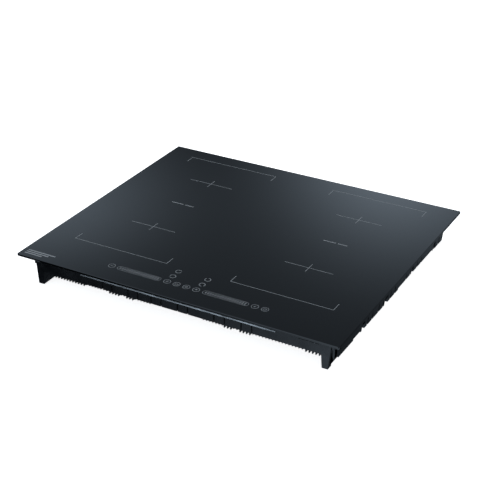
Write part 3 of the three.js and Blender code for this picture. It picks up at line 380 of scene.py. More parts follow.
class Shape:
    """Vertices and faces that grow piece by piece, with u and v for wound wires."""

    def __init__(self):
        self.points = []
        self.faces = []
        self.uvs = []

    def take(self, points, faces, uvs=None):
        start = len(self.points)
        self.points += [tuple(p) for p in points]
        self.faces += [tuple(start + i for i in face) for face in faces]
        self.uvs += uvs if uvs else [[(0.0, 0.0)] * len(face) for face in faces]

    def ribbon(self, line, width, z0, z1, closed=False):
        """A flat strip of the given width along a line of (x, y), from z0 to z1."""
        count = len(line)
        points = []
        for i, (x, y) in enumerate(line):
            before = line[i - 1] if i > 0 or closed else line[i]
            after = line[(i + 1) % count] if i < count - 1 or closed else line[i]
            a = Vector((x - before[0], y - before[1]))
            b = Vector((after[0] - x, after[1] - y))
            a = a.normalized() if a.length > 1e-9 else b.normalized()
            b = b.normalized() if b.length > 1e-9 else a
            middle = (a + b).normalized() if (a + b).length > 1e-6 else a
            reach = width / 2 / max(MITRE_LEAST, middle.dot(a))
            side = Vector((-middle.y, middle.x)) * reach
            left, right = (x + side.x, y + side.y), (x - side.x, y - side.y)
            points += [(*left, z1), (*right, z1), (*right, z0), (*left, z0)]
        faces = []
        for i in range(count if closed else count - 1):
            p, q = 4 * i, 4 * ((i + 1) % count)
            for k in range(4):
                n = (k + 1) % 4
                faces.append((p + k, p + n, q + n, q + k))
        if not closed:
            faces.append((3, 2, 1, 0))
            end = 4 * (count - 1)
            faces.append((end, end + 1, end + 2, end + 3))
        self.take(points, faces)

    def tube(self, line, radius, sides=8, stretch=1.0):
        """A tube along a line of points, with u along it and v round it. stretch makes it taller."""
        line = [Vector(p) for p in line]
        last = len(line) - 1
        steps = [(line[min(i + 1, last)] - line[max(i - 1, 0)]).normalized() for i in range(last + 1)]
        side = steps[0].orthogonal().normalized()
        points, lengths = [], []
        length = 0.0
        for i, point in enumerate(line):
            if i:
                side = (side - steps[i] * side.dot(steps[i])).normalized()
                length += (point - line[i - 1]).length
            lengths.append(length)
            up = steps[i].cross(side)
            for k in range(sides):
                a = 2 * math.pi * k / sides
                away = (side * math.cos(a) + up * math.sin(a)) * radius
                away.z *= stretch
                points.append(point + away)
        faces, uvs = [], []
        for i in range(last):
            u0, u1 = lengths[i] * MM, lengths[i + 1] * MM
            p, q = i * sides, (i + 1) * sides
            for k in range(sides):
                n = (k + 1) % sides
                faces.append((p + k, p + n, q + n, q + k))
                v0, v1 = k / sides, (k + 1) / sides
                uvs.append([(u0, v0), (u0, v1), (u1, v1), (u1, v0)])
        faces.append(tuple(reversed(range(sides))))
        faces.append(tuple(range(last * sides, (last + 1) * sides)))
        uvs += [[(0.0, 0.0)] * sides] * 2
        self.take(points, faces, uvs)

    def lathe(self, profile, centre, steps=48, closed=True, axis="Z"):
        """A turned ring or knob. profile is (radius, height). An open profile is capped at both ends."""
        points, faces = [], []
        count = len(profile)
        for s in range(steps):
            a = 2 * math.pi * s / steps
            for r, h in profile:
                p = (r * math.cos(a), r * math.sin(a), h)
                if axis == "Y":
                    p = (p[0], p[2], -p[1])
                if axis == "X":
                    p = (p[2], p[0], p[1])
                points.append(tuple(c + d for c, d in zip(centre, p)))
        for s in range(steps):
            t = (s + 1) % steps
            for k in range(count if closed else count - 1):
                n = (k + 1) % count
                faces.append((s * count + k, t * count + k, t * count + n, s * count + n))
        if not closed:
            faces.append(tuple(s * count for s in reversed(range(steps))))
            faces.append(tuple(s * count + count - 1 for s in range(steps)))
        self.take(points, faces)

    def block(self, low, high, chamfer=0.0):
        """A block, with chamfered edges where a chamfer is given."""
        c = min(chamfer, *(0.45 * (h - l) for l, h in zip(low, high)))
        if c <= 0:
            spans = list(zip(low, high))
            points = [(x, y, z) for z in spans[2] for y in spans[1] for x in spans[0]]
            faces = [(0, 2, 3, 1), (4, 5, 7, 6), (0, 1, 5, 4), (2, 6, 7, 3), (0, 4, 6, 2), (1, 3, 7, 5)]
            self.take(points, faces)
            return
        x0, y0, x1, y1 = low[0], low[1], high[0], high[1]
        outline = [(x0 + c, y0), (x1 - c, y0), (x1, y0 + c), (x1, y1 - c)]
        outline += [(x1 - c, y1), (x0 + c, y1), (x0, y1 - c), (x0, y0 + c)]
        inner = [(min(max(x, x0 + c), x1 - c), min(max(y, y0 + c), y1 - c)) for x, y in outline]
        layers = [(inner, low[2]), (outline, low[2] + c), (outline, high[2] - c), (inner, high[2])]
        points = [(x, y, z) for ring, z in layers for x, y in ring]
        faces = [tuple(reversed(range(8))), tuple(range(24, 32))]
        for layer in range(3):
            for k in range(8):
                n = (k + 1) % 8
                a, b = layer * 8, (layer + 1) * 8
                faces.append((a + k, a + n, b + n, b + k))
        self.take(points, faces)


def piece(name, shape, slot, body="housing", look=None, smooth=40.0, stands_for=()):
    """Turns a shape into a piece of the object that rides on a body."""
    mesh = bpy.data.meshes.new(name)
    mesh.from_pydata([Vector(p) * MM for p in shape.points], [], shape.faces)
    layer = mesh.uv_layers.new(name="Along")
    flat = [uv for face in shape.uvs for uv in face]
    for loop, uv in zip(layer.data, flat):
        loop.uv = uv
    made = new_object(name, mesh)
    mesh.materials.append(look or LOOKS[slot])
    clean(mesh)
    if smooth:
        mesh.shade_smooth()
        mesh.set_sharp_from_angle(angle=math.radians(smooth))
    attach(made, body)
    if stands_for:
        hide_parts(*stands_for)
    return made


def clean(mesh):
    """Joins doubled points and turns all faces outwards."""
    work = bmesh.new()
    work.from_mesh(mesh)
    bmesh.ops.remove_doubles(work, verts=work.verts, dist=1e-7)
    bmesh.ops.dissolve_degenerate(work, edges=work.edges, dist=1e-8)
    bmesh.ops.recalc_face_normals(work, faces=work.faces)
    work.to_mesh(mesh)
    work.free()


def box_mm(node):
    low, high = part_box(node)
    return low / MM, high / MM


def arc(cx, cy, radius, start, end, steps=24):
    """Points along an arc, with its start and end in degrees."""
    points = []
    for i in range(steps + 1):
        a = math.radians(start + (end - start) * i / steps)
        points.append((cx + radius * math.cos(a), cy + radius * math.sin(a)))
    return points


# ---- coils and their springs

LITZ_HALF_WIDTH = 1.25
LITZ_STRETCH = 1.6
LITZ_PITCH = 2.68
LITZ_STEPS = 44
WINDING_HOLE = 24.4
WINDING_GAP = (54.0, 58.0)
WINDING_EDGE = 0.15
WINDING_JUMP = 0.16
SPRING_WIRE = 0.58
SPRING_TURNS = 3.5
SPRING_STEPS = 26


def winding(node):
    """One stranded wire that winds outwards in two rings, with a crossing between them."""
    low, high = box_mm(node)
    middle = (low + high) / 2
    half = LITZ_HALF_WIDTH
    outer = (high.x - low.x) / 2 - WINDING_EDGE
    line = []
    angle = 0.0
    for start, end in ((WINDING_HOLE + half, WINDING_GAP[0] - half), (WINDING_GAP[1] + half, outer - half)):
        count = (end - start) / LITZ_PITCH
        steps = round(count * LITZ_STEPS)
        for i in range(steps + 1):
            a = 2 * math.pi * (angle + count * i / steps)
            r = start + (end - start) * i / steps
            line.append((middle.x + r * math.cos(a), middle.y + r * math.sin(a), middle.z))
        angle += count + WINDING_JUMP
    s = Shape()
    s.tube(line, half, stretch=LITZ_STRETCH)
    return s


def helix(x, y, z0, z1, radii, turns, steps):
    """Points up a helix whose radius goes from the first of radii to the second."""
    points = []
    for i in range(steps + 1):
        a = 2 * math.pi * turns * i / steps
        r = radii[0] + (radii[1] - radii[0]) * i / steps
        points.append((x + r * math.cos(a), y + r * math.sin(a), z0 + (z1 - z0) * i / steps))
    return points


def coil_spring(node):
    low, high = box_mm(node)
    middle = (low + high) / 2
    radius = (high.x - low.x) / 2 - SPRING_WIRE
    steps = round(SPRING_TURNS * SPRING_STEPS)
    s = Shape()
    s.tube(helix(middle.x, middle.y, low.z + SPRING_WIRE, high.z - SPRING_WIRE, (radius, radius),
                 SPRING_TURNS, steps), SPRING_WIRE)
    return s


for side, _ in SIDES:
    for row in ROWS:
        node = f"coil_winding_{row}_{side}"
        piece(f"{node}_litz", winding(node), "copper_litz", f"coil_carrier_{side}", smooth=WIRE_SMOOTH,
              stands_for=[node])
    for spot in ("outer_front", "outer_rear", "centre"):
        node = f"carrier_spring_{side}_{spot}"
        low, high = box_mm(node)
        made = piece(f"{node}_wire", coil_spring(node), "steel", smooth=WIRE_SMOOTH, stands_for=[node])
        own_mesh(made)


# ---- wound chokes

CHOKE_WIRE = 0.9
CHOKE_TURNS = 26
CHOKE_SWEEP = 330.0
CHOKE_BEND = 1.6
CHOKE_BORE = 8.2
CHOKE_SLACK = 0.1
FILTER_WIRE = 0.78
FILTER_TURNS = 8
FILTER_BEND = 1.4
FILTER_YOKE = 5.0
FILTER_LIMB = 6.0
FILTER_INSET = (2.0, 3.0)
FILTER_CHAMFER = 0.7
TURN_SLACK = (0.96, 0.97)


def rounded_path(x0, x1, y0, y1, bend, steps=3):
    """Points round a rectangle with round corners, starting on its lower side."""
    path = []
    for cx, cy, start in ((x1 - bend, y0 + bend, -90), (x1 - bend, y1 - bend, 0),
                          (x0 + bend, y1 - bend, 90), (x0 + bend, y0 + bend, 180)):
        path += arc(cx, cy, bend, start, start + 90, steps)
    return path


def toroid(node):
    """The coated core and the wire wound round it."""
    low, high = box_mm(node)
    middle = (low + high) / 2
    wide = 2 * CHOKE_WIRE
    outer = (high.x - low.x) / 2 - wide - CHOKE_SLACK
    inner = CHOKE_BORE + wide
    z0, z1 = low.z + wide + CHOKE_SLACK, high.z - wide - CHOKE_SLACK
    core = Shape()
    core.lathe(rounded_path(inner, outer, z0, z1, CHOKE_BEND, 4), (middle.x, middle.y, 0.0), 64)
    loop = rounded_path(inner - CHOKE_WIRE, outer + CHOKE_WIRE, z0 - CHOKE_WIRE, z1 + CHOKE_WIRE,
                        CHOKE_BEND + CHOKE_WIRE)
    line = []
    for turn in range(CHOKE_TURNS):
        for i, (r, z) in enumerate(loop):
            a = math.radians(CHOKE_SWEEP) * (turn + i / len(loop)) / CHOKE_TURNS
            line.append((middle.x + r * math.cos(a), middle.y + r * math.sin(a), z))
    wire = Shape()
    wire.tube(line, CHOKE_WIRE * TURN_SLACK[0])
    return core, wire


def filter_coil(node):
    """A frame core with a winding on each upright limb."""
    low, high = box_mm(node)
    middle = (low + high) / 2
    half_x, half_y = high.x - FILTER_INSET[0] - middle.x, high.y - FILTER_INSET[1] - middle.y
    y0, y1 = middle.y - half_y, middle.y + half_y
    core, wire = Shape(), Shape()
    for z in (low.z, high.z - FILTER_YOKE):
        core.block((middle.x - half_x, y0, z), (middle.x + half_x, y1, z + FILTER_YOKE), FILTER_CHAMFER)
    limb_z0, limb_z1 = low.z + FILTER_YOKE, high.z - FILTER_YOKE
    for _, sign in SIDES:
        ends = sorted((middle.x + sign * half_x, middle.x + sign * (half_x - FILTER_LIMB)))
        core.block((ends[0], y0, limb_z0), (ends[1], y1, limb_z1))
        loop = rounded_path(ends[0] - FILTER_WIRE, ends[1] + FILTER_WIRE, y0 - FILTER_WIRE,
                            y1 + FILTER_WIRE, FILTER_BEND)
        z0, z1 = limb_z0 + FILTER_WIRE, limb_z1 - FILTER_WIRE
        total = FILTER_TURNS * len(loop)
        line = [(*loop[i % len(loop)], z0 + (z1 - z0) * i / total) for i in range(total + 1)]
        wire.tube(line, FILTER_WIRE * TURN_SLACK[1])
    return core, wire


for side, _ in SIDES:
    core, wire = toroid(f"toroid_choke_{side}")
    piece(f"toroid_core_{side}", core, "ferrite", look=CORE_LOOK)
    piece(f"toroid_winding_{side}", wire, "choke_copper", smooth=WIRE_SMOOTH,
          stands_for=[f"toroid_choke_{side}"])
core, wire = filter_coil("filter_choke")
piece("filter_choke_core", core, "ferrite")
piece("filter_choke_winding", wire, "choke_copper", smooth=WIRE_SMOOTH, stands_for=["filter_choke"])


# ---- blower wheels

WHEEL_CLEARANCE = 0.1
WHEEL_DISC = 1.6
WHEEL_HUB = 14.0
WHEEL_HUB_DROP = 4.0
WHEEL_BLADES = 34
WHEEL_STEPS = 96
WHEEL_EDGE = 0.3
BLADE_INNER = 29.5
BLADE_WALL = 0.95
BLADE_STEPS = 8
BLADE_CURVE = 0.16
BLADE_LEAN = 0.1
RIM_WIDTH = 3.6
RIM_HEIGHT = 1.3
RIM_EDGE = 0.25


def wheel(node):
    """Forward-curved blades between a disc and a rim, round a domed hub."""
    low, high = box_mm(node)
    middle = (low + high) / 2
    outer = (high.x - low.x) / 2 - WHEEL_CLEARANCE
    disc = low.z + WHEEL_DISC
    top = high.z - WHEEL_HUB_DROP
    hub, edge, rim = WHEEL_HUB, WHEEL_EDGE, high.z - RIM_HEIGHT
    s = Shape()
    s.lathe(
        [(outer - edge, low.z), (outer, low.z + edge), (outer, disc - edge), (outer - edge, disc),
         (hub + 1.2, disc), (hub + 0.3, disc + 0.4), (hub, disc + 1.2), (hub, top - 1.5),
         (hub - 0.5, top - 0.5), (hub - 1.5, top), (4.2, top), (3.4, top - 0.9), (1.5, top - 0.9)],
        (middle.x, middle.y, 0.0), WHEEL_STEPS, closed=False)
    s.lathe(
        [(outer - RIM_WIDTH, rim), (outer - RIM_EDGE, rim), (outer, rim + edge),
         (outer, high.z - RIM_EDGE), (outer - RIM_EDGE, high.z), (outer - RIM_WIDTH, high.z)],
        (middle.x, middle.y, 0.0), WHEEL_STEPS)
    tip = outer - 2 * edge
    for k in range(WHEEL_BLADES):
        line = []
        for i in range(BLADE_STEPS + 1):
            share = i / BLADE_STEPS
            r = BLADE_INNER + (tip - BLADE_INNER) * share
            a = 2 * math.pi * k / WHEEL_BLADES + BLADE_CURVE * share ** 2 - BLADE_LEAN * share
            line.append((middle.x + r * math.cos(a), middle.y + r * math.sin(a)))
        s.ribbon(line, BLADE_WALL, disc - 0.2, rim + edge)
    return s


for side, _ in SIDES:
    node = f"blower_rotor_{side}"
    piece(f"{node}_wheel", wheel(node), "blower_plastic", f"rotor_{side}", stands_for=[node])


# ---- fasteners, hinge pin and grommet

THREAD_PITCH = 1.25
THREAD_DEPTH = 0.28
RECESS_STEPS = 32
RECESS_WAIST = 0.62
TRAY_HEAD = 2.2
TRAY_SCREW = {"shank": 1.48, "drive": 1.9, "recess": 1.1}
BOARD_SCREW = {"head": 2.9, "shank": 1.1, "drive": 1.5, "recess": 0.8}
BOARD_SCREW_INSET = 9.0
TERMINAL_SCREW = {"head": 2.3, "shank": 1.2, "drive": 1.7, "recess": 1.1}
TERMINAL_POLES = 5
TERMINAL_PITCH = 10.0
TERMINAL_ROW = 0.4
PIN_EDGE = 0.35
GROMMET_BORE = 5.0
GROMMET_NECK = 7.1
GROMMET_LIP = 1.8
GROMMET_BEND = 0.75
GROMMET_EDGE = 0.4


def crossed_stack(s, rings, centre):
    """Stacked rings of (radius, height, waist). A waist pulls four sides inwards to form a cross."""
    steps = RECESS_STEPS
    points = []
    for radius, height, waist in rings:
        for k in range(steps):
            a = 2 * math.pi * k / steps
            r = radius * (1 - waist * (0.5 - 0.5 * math.cos(4 * a)))
            points.append((centre[0] + r * math.cos(a), centre[1] + r * math.sin(a), height))
    faces = []
    for i in range(len(rings) - 1):
        for k in range(steps):
            n = (k + 1) % steps
            faces.append((i * steps + k, i * steps + n, (i + 1) * steps + n, (i + 1) * steps + k))
    faces.append(tuple(range(steps)))
    faces.append(tuple((len(rings) - 1) * steps + k for k in range(steps)))
    s.take(points, faces)


def screw(s, centre, head_low, head_high, tip, head, shank, drive, recess):
    """A pan head with a cross recess on its outer side and a threaded shank that ends at tip."""
    away = 1 if tip > head_high else -1
    outer_z, inner_z = (head_low, head_high) if away > 0 else (head_high, head_low)
    rings = [
        (drive * 0.75, outer_z + away * recess, RECESS_WAIST),
        (drive, outer_z, RECESS_WAIST),
        (head * 0.72, outer_z, 0.0),
        (head * 0.93, outer_z + away * 0.3, 0.0),
        (head, outer_z + away * 0.9, 0.0),
        (head, inner_z - away * 0.2, 0.0),
        (head - 0.2, inner_z, 0.0),
        (shank, inner_z, 0.0),
    ]
    for i in range(int(abs(tip - inner_z) / THREAD_PITCH) - 1):
        z = inner_z + away * THREAD_PITCH * (i + 0.5)
        rings.append((shank - THREAD_DEPTH, z, 0.0))
        rings.append((shank, z + away * THREAD_PITCH / 2, 0.0))
    rings.append((shank * 0.45, tip, 0.0))
    crossed_stack(s, rings, centre)


for name in ("front_left", "front_right", "rear_left", "rear_right"):
    node = f"tray_screw_{name}"
    low, high = box_mm(node)
    made = Shape()
    head = (high.x - low.x) / 2 - 0.05
    screw(made, (low + high) / 2, low.z, low.z + TRAY_HEAD, high.z, head, **TRAY_SCREW)
    piece(f"{node}_cross_head", made, "steel", smooth=SCREW_SMOOTH, stands_for=[node])

for side, _ in SIDES:
    low, high = box_mm(f"power_board_{side}")
    made = Shape()
    for x in (low.x + BOARD_SCREW_INSET, high.x - BOARD_SCREW_INSET):
        for y in (low.y + BOARD_SCREW_INSET, high.y - BOARD_SCREW_INSET):
            screw(made, (x, y), high.z + 0.05, high.z + 1.9, high.z - 0.9, **BOARD_SCREW)
    piece(f"board_screws_{side}", made, "steel", smooth=SCREW_SMOOTH)

low, high = box_mm("terminal_hinge_pin")
pin = Shape()
radius = (high.y - low.y) / 2
pin.lathe(
    [(radius - PIN_EDGE, low.x), (radius, low.x + PIN_EDGE), (radius, high.x - PIN_EDGE),
     (radius - PIN_EDGE, high.x)],
    (0.0, (low.y + high.y) / 2, (low.z + high.z) / 2), 32, closed=False, axis="X")
piece("terminal_hinge_pin_round", pin, "steel", stands_for=["terminal_hinge_pin"])


def grommet(node):
    """A rubber ring with a rounded lip on each side of the wall."""
    low, high = box_mm(node)
    lip = (high.x - low.x) / 2
    bend, edge = GROMMET_BEND, GROMMET_EDGE
    inside, outside = low.y + GROMMET_LIP, high.y - GROMMET_LIP
    profile = arc(GROMMET_BORE + bend, low.y + bend, bend, 180, 270, 4)
    profile += arc(lip - bend, low.y + bend, bend, 270, 360, 4)
    profile += [(lip, inside - edge), (lip - edge, inside), (GROMMET_NECK, inside)]
    profile += [(GROMMET_NECK, outside), (lip - edge, outside), (lip, outside + edge)]
    profile += arc(lip - bend, high.y - bend, bend, 0, 90, 4)
    profile += arc(GROMMET_BORE + bend, high.y - bend, bend, 90, 180, 4)
    s = Shape()
    s.lathe(profile, ((low.x + high.x) / 2, 0.0, (low.z + high.z) / 2), 64, axis="Y")
    return s


piece("cable_grommet_soft", grommet("cable_grommet"), "rubber", stands_for=["cable_grommet"])

low, high = box_mm("terminal_block")
made = Shape()
for pole in range(TERMINAL_POLES):
    x = (low.x + high.x) / 2 + (pole - (TERMINAL_POLES - 1) / 2) * TERMINAL_PITCH
    y = low.y + (high.y - low.y) * TERMINAL_ROW
    screw(made, (x, y), high.z - 5.4, high.z - 2.6, high.z - 5.9, **TERMINAL_SCREW)
piece("terminal_screws", made, "steel", smooth=SCREW_SMOOTH)


# ---- parts on the boards

SEAT_GAP = 0.1
BIG_CAN = (8.0, 19.0)
SMALL_CAN = (5.0, 13.0)
WIDE_CHIP = (10.2, 4.2, 1.9)
SMALL_CHIP = (7.4, 5.2, 1.8)
CHIP_LIFT = 0.25
CHIP_EDGE = 0.25
LEG_PITCH = 1.27
LEG_REACH = 1.3
LEG_HALF = 0.22
LEG_WALL = 0.3
TRANSISTORS = 4
TRANSISTOR_PITCH = 18.0
TRANSISTOR_LEG = 5.2
RESISTOR_LENGTH = 11.0
RESISTOR_RADIUS = 1.9
RESISTOR_PITCH = 6.4
STRIP_INNER = 22.0
STRIP_OUTER = 26.0
CONNECTOR_HALF = 3.8
CONNECTOR_WALL = 1.0
CONNECTOR_FLOOR = 1.6
CONNECTOR_TOP = 8.5
PIN_PITCH = 3.96
PIN_HALF = 0.5
FUSE_RADIUS = 2.6


def can(s, x, y, z, radius, height):
    """A round capacitor with a rolled groove near its foot and a rounded shoulder."""
    top = z + height
    profile = [(radius - 0.4, z), (radius, z + 0.4), (radius, z + 1.8), (radius - 0.5, z + 2.4),
               (radius, z + 3.0), (radius, top - 0.9), (radius - 0.3, top - 0.3), (radius - 0.9, top),
               (radius - 1.4, top - 0.25)]
    s.lathe(profile, (x, y, 0.0), 40, closed=False)


def package(s, x, y, z, size, legs):
    """A moulded chip with bent legs along both long sides."""
    wide, deep, tall = size
    foot = z + CHIP_LIFT
    s.block((x - wide / 2, y - deep / 2, foot), (x + wide / 2, y + deep / 2, foot + tall), CHIP_EDGE)
    for k in range(legs):
        leg = x + (k - (legs - 1) / 2) * LEG_PITCH
        for sign in (-1, 1):
            ends = sorted((y + sign * (deep / 2 - 0.2), y + sign * (deep / 2 + LEG_REACH)))
            s.block((leg - LEG_HALF, ends[0], z), (leg + LEG_HALF, ends[1], z + LEG_WALL))


def transistor(s, x, y, z):
    """A power transistor standing on three legs, with its tab against the heat sink."""
    s.block((x - 7.7, y - 4.8, z + 3.6), (x + 7.7, y - 0.4, z + 22.5), 0.5)
    for step in (-TRANSISTOR_LEG, 0.0, TRANSISTOR_LEG):
        s.block((x + step - 0.6, y - 2.9, z), (x + step + 0.6, y - 2.2, z + 3.8))


def resistor(s, x, y, z):
    """A resistor lying along X, with a thicker cap at each end."""
    half, thick, waist = RESISTOR_LENGTH / 2, RESISTOR_RADIUS, RESISTOR_RADIUS * 0.86
    rise = [(thick * 0.6, -half), (thick, 0.5 - half), (thick, 1.5 - half), (waist, 2.1 - half)]
    fall = [(r, -h) for r, h in reversed(rise)]
    profile = [(r, x + h) for r, h in rise + fall]
    s.lathe(profile, (0.0, y, z + thick + 0.4), 20, closed=False, axis="X")


def connector(s, x, y, z, wide):
    """An open pin header: a floor, two long walls and a row of pins."""
    x0, x1 = x - wide / 2, x + wide / 2
    y0, y1 = y - CONNECTOR_HALF, y + CONNECTOR_HALF
    floor_z, top = z + CONNECTOR_FLOOR, z + CONNECTOR_TOP
    s.block((x0, y0, z), (x1, y1, floor_z), 0.4)
    s.block((x0, y0, floor_z), (x1, y0 + CONNECTOR_WALL, top), 0.3)
    s.block((x0, y1 - CONNECTOR_WALL, floor_z), (x1, y1, top), 0.3)
    pins = int(wide / PIN_PITCH)
    for k in range(pins):
        px = x + (k - (pins - 1) / 2) * PIN_PITCH
        s.block((px - PIN_HALF, y - PIN_HALF, floor_z), (px + PIN_HALF, y + PIN_HALF, top - 0.5), 0.15)


def board_parts(side, sign):
    """Parts in the free strips of a power board, inside and outside of the heat sink."""
    board_low, board_high = box_mm(f"power_board_{side}")
    sink_low, sink_high = box_mm(f"heat_sink_{side}")
    z = board_high.z + SEAT_GAP
    front = board_low.y
    inner = (board_low.x if sign > 0 else board_high.x) + sign * STRIP_INNER
    outer = (board_high.x if sign > 0 else board_low.x) - sign * STRIP_OUTER
    cans, black, tan, pale = Shape(), Shape(), Shape(), Shape()
    for k in range(3):
        can(cans, inner, front + 26 + 21 * k, z, *BIG_CAN)
        can(cans, outer + sign * 6, front + 84 + 15 * k, z, *SMALL_CAN)
        package(black, inner, front + 130 + 24 * k, z, WIDE_CHIP, 8)
        package(black, outer - sign * 4, front + 160 + 26 * k, z, SMALL_CHIP, 5)
    for k in range(TRANSISTORS):
        x = (sink_low.x + sink_high.x) / 2 + (k - (TRANSISTORS - 1) / 2) * TRANSISTOR_PITCH
        transistor(black, x, sink_low.y, z)
    black.block((inner - 10, front + 205, z), (inner + 10, front + 221, z + 15.5), 0.8)
    for k in range(6):
        resistor(tan, inner - 1, front + 236 + RESISTOR_PITCH * k, z)
        resistor(tan, outer, front + 244 + RESISTOR_PITCH * k, z)
    for x, y, wide in ((inner, front + 290, 24.0), (outer, front + 290, 18.0), (outer, front + 60, 22.0)):
        connector(pale, x, y, z, wide)
    piece(f"capacitor_cans_{side}", cans, "cover_plastic", look=CAN_LOOK)
    piece(f"power_packages_{side}", black, "cover_plastic", look=CHIP_LOOK, smooth=BLOCK_SMOOTH)
    piece(f"resistors_{side}", tan, "terminal_plastic", look=TAN_LOOK)
    piece(f"board_connectors_{side}", pale, "terminal_plastic", smooth=BLOCK_SMOOTH)


for side, sign in SIDES:
    board_parts(side, sign)

low, high = box_mm("filter_board")
fuses, red = Shape(), Shape()
for _, sign in SIDES:
    x, z = sign * 45.0, high.z + SEAT_GAP
    red.block((x - 13, low.y + 14, z), (x + 13, low.y + 24, high.z + 18.0), 1.0)
    red.block((x - 9, low.y + 38, z), (x + 9, low.y + 46, high.z + 12.0), 0.9)
for k in range(2):
    fuses.lathe([(FUSE_RADIUS, low.x + 8), (FUSE_RADIUS, low.x + 28)],
                (0.0, low.y + 62 + 9 * k, high.z + 3.0), 24, closed=False, axis="X")
piece("suppression_capacitors", red, "capacitor_red", smooth=BLOCK_SMOOTH)
piece("mains_fuses", fuses, "terminal_plastic", smooth=50.0)


# ---- touch control

MINUS_KEY = -133.8
PAUSE_KEY = -27.7
TIMER_KEY = -10.0
LOCK_KEY = 8.1
KEEP_KEY = 26.2
PLUS_KEY = 131.5
POWER_KEY = 149.2
KEY_X = (MINUS_KEY, PAUSE_KEY, TIMER_KEY, LOCK_KEY, KEEP_KEY, PLUS_KEY, POWER_KEY)
KEY_ROW = -216.9
ZONE_KEY_X = (-28.5, 26.2)
ZONE_KEY_ROWS = (-180.0, -198.1)
KEY_SPRING_RADIUS = 2.3
KEY_SPRING_TAPER = 0.5
KEY_SPRING_WIRE = 0.28
KEY_SPRING_TURNS = 6
KEY_SPRING_GAP = 0.25
CONTROL_CHIP = (12.4, 7.4, 2.0)
LENS_COUNT = 10
LENS_MARGIN = (2.0, 3.2)
LENS_SHARE = 0.36


def key_springs():
    """A sprung contact under each touch symbol, from the board up to the glass."""
    z0 = box_mm("control_board")[1].z + SEAT_GAP + KEY_SPRING_WIRE
    z1 = box_mm("glass_top")[0].z - KEY_SPRING_GAP - KEY_SPRING_WIRE
    radii = (KEY_SPRING_RADIUS, KEY_SPRING_RADIUS - KEY_SPRING_TAPER)
    places = [(x, KEY_ROW) for x in KEY_X] + [(x, y) for x in ZONE_KEY_X for y in ZONE_KEY_ROWS]
    s = Shape()
    for x, y in places:
        s.tube(helix(x, y, z0, z1, radii, KEY_SPRING_TURNS, 96), KEY_SPRING_WIRE, 6)
    return s


def slider_lenses(node):
    """A row of small clear caps along a light bar."""
    low, high = box_mm(node)
    end, edge = LENS_MARGIN
    pitch = (high.x - low.x - 2 * end) / LENS_COUNT
    half = pitch * LENS_SHARE
    s = Shape()
    for k in range(LENS_COUNT):
        x = low.x + end + pitch * (k + 0.5)
        s.block((x - half, low.y + edge, high.z - 0.05), (x + half, high.y - edge, high.z + 0.7), 0.3)
    return s


piece("key_springs", key_springs(), "steel", smooth=WIRE_SMOOTH)
chips = Shape()
for x in (-96.0, 88.0):
    package(chips, x, -182.0, box_mm("control_board")[1].z + SEAT_GAP, CONTROL_CHIP, 9)
piece("control_chips", chips, "cover_plastic", look=CHIP_LOOK, smooth=BLOCK_SMOOTH)
for side, _ in SIDES:
    piece(f"slider_lenses_{side}", slider_lenses(f"slider_led_bar_{side}"), "led_white",
          smooth=BLOCK_SMOOTH)


# ---- soft edges on the CAD pieces

ROUNDED = {
    "terminal_cover": 0.4,
    "support_frame": 0.25,
    "control_carrier": 0.3,
    "terminal_block": 0.35,
    "base_tray": 0.25,
}
ROUNDED_PAIRS = {"film_capacitor": 0.6, "blower_housing": 0.4, "heat_sink": 0.3}
FLAT_ANGLE = 0.6
SHARP_ANGLE = 42.0


def round_edges(node, width):
    """A small rounding on the sharp edges of a carried-over piece."""
    made = NODES[node]
    weld = made.modifiers.new("weld", "WELD")
    weld.merge_threshold = 1e-6
    flat = made.modifiers.new("flat", "DECIMATE")
    flat.decimate_type = "DISSOLVE"
    flat.angle_limit = math.radians(FLAT_ANGLE)
    bevel = made.modifiers.new("round", "BEVEL")
    bevel.width = width * MM
    bevel.segments = 2
    bevel.limit_method = "ANGLE"
    bevel.angle_limit = math.radians(SHARP_ANGLE)
    bevel.use_clamp_overlap = True
    bevel.harden_normals = False


for node, width in ROUNDED.items():
    round_edges(node, width)
for node, width in ROUNDED_PAIRS.items():
    for side, _ in SIDES:
        round_edges(f"{node}_{side}", width)


# ---- print on the glass

GLASS_TOP = box_mm("glass_top")[1].z
PRINT_Z0 = GLASS_TOP - 0.02
PRINT_Z1 = GLASS_TOP + 0.03
ZONE_LINE = 0.85
FINE_LINE = 0.62
ZONE_X = 150.0
ZONE_ROWS = (136.9, -63.8)
CROSS_ARM = 44.0
CROSS_RISE = 14.3
BRACKET_X = (60.0, 242.0)
BRACKETS = ((226.2, -21.0), (-166.2, 20.0))
DASHES = range(-7, 8)
DASH_LEFT_OUT = 1
DASH_X = 151.0
DASH_ROW = 37.1
DASH_PITCH = 3.0
DASH_HALF = 1.0
DASH_WIDTH = 2.6
KEY_RING = 5.9
ZONE_RING = 4.9
ZONE_RING_GAPS = (40, 140)
ZONE_RING_TURNS = (0, 180)
ZONE_RING_SWEEP = 325
ZONE_RING_LINE = 0.9
SLIDERS = ((-122.3, -40.0), (38.5, 120.0))
SLIDER_HALF = 5.4
SLIDER_LINE = 0.5
SLIDER_TICKS = 16
TICK_LINE = 1.35
TICK_REACH = 2.6
TICK_GROWTH = 1.2
BAR_REACH = (54.0, 44.0, 34.0)
BAR_X = -286.0
BAR_Y = -238.6
BAR_PITCH = 5.3
BAR_WIDTH = 2.6


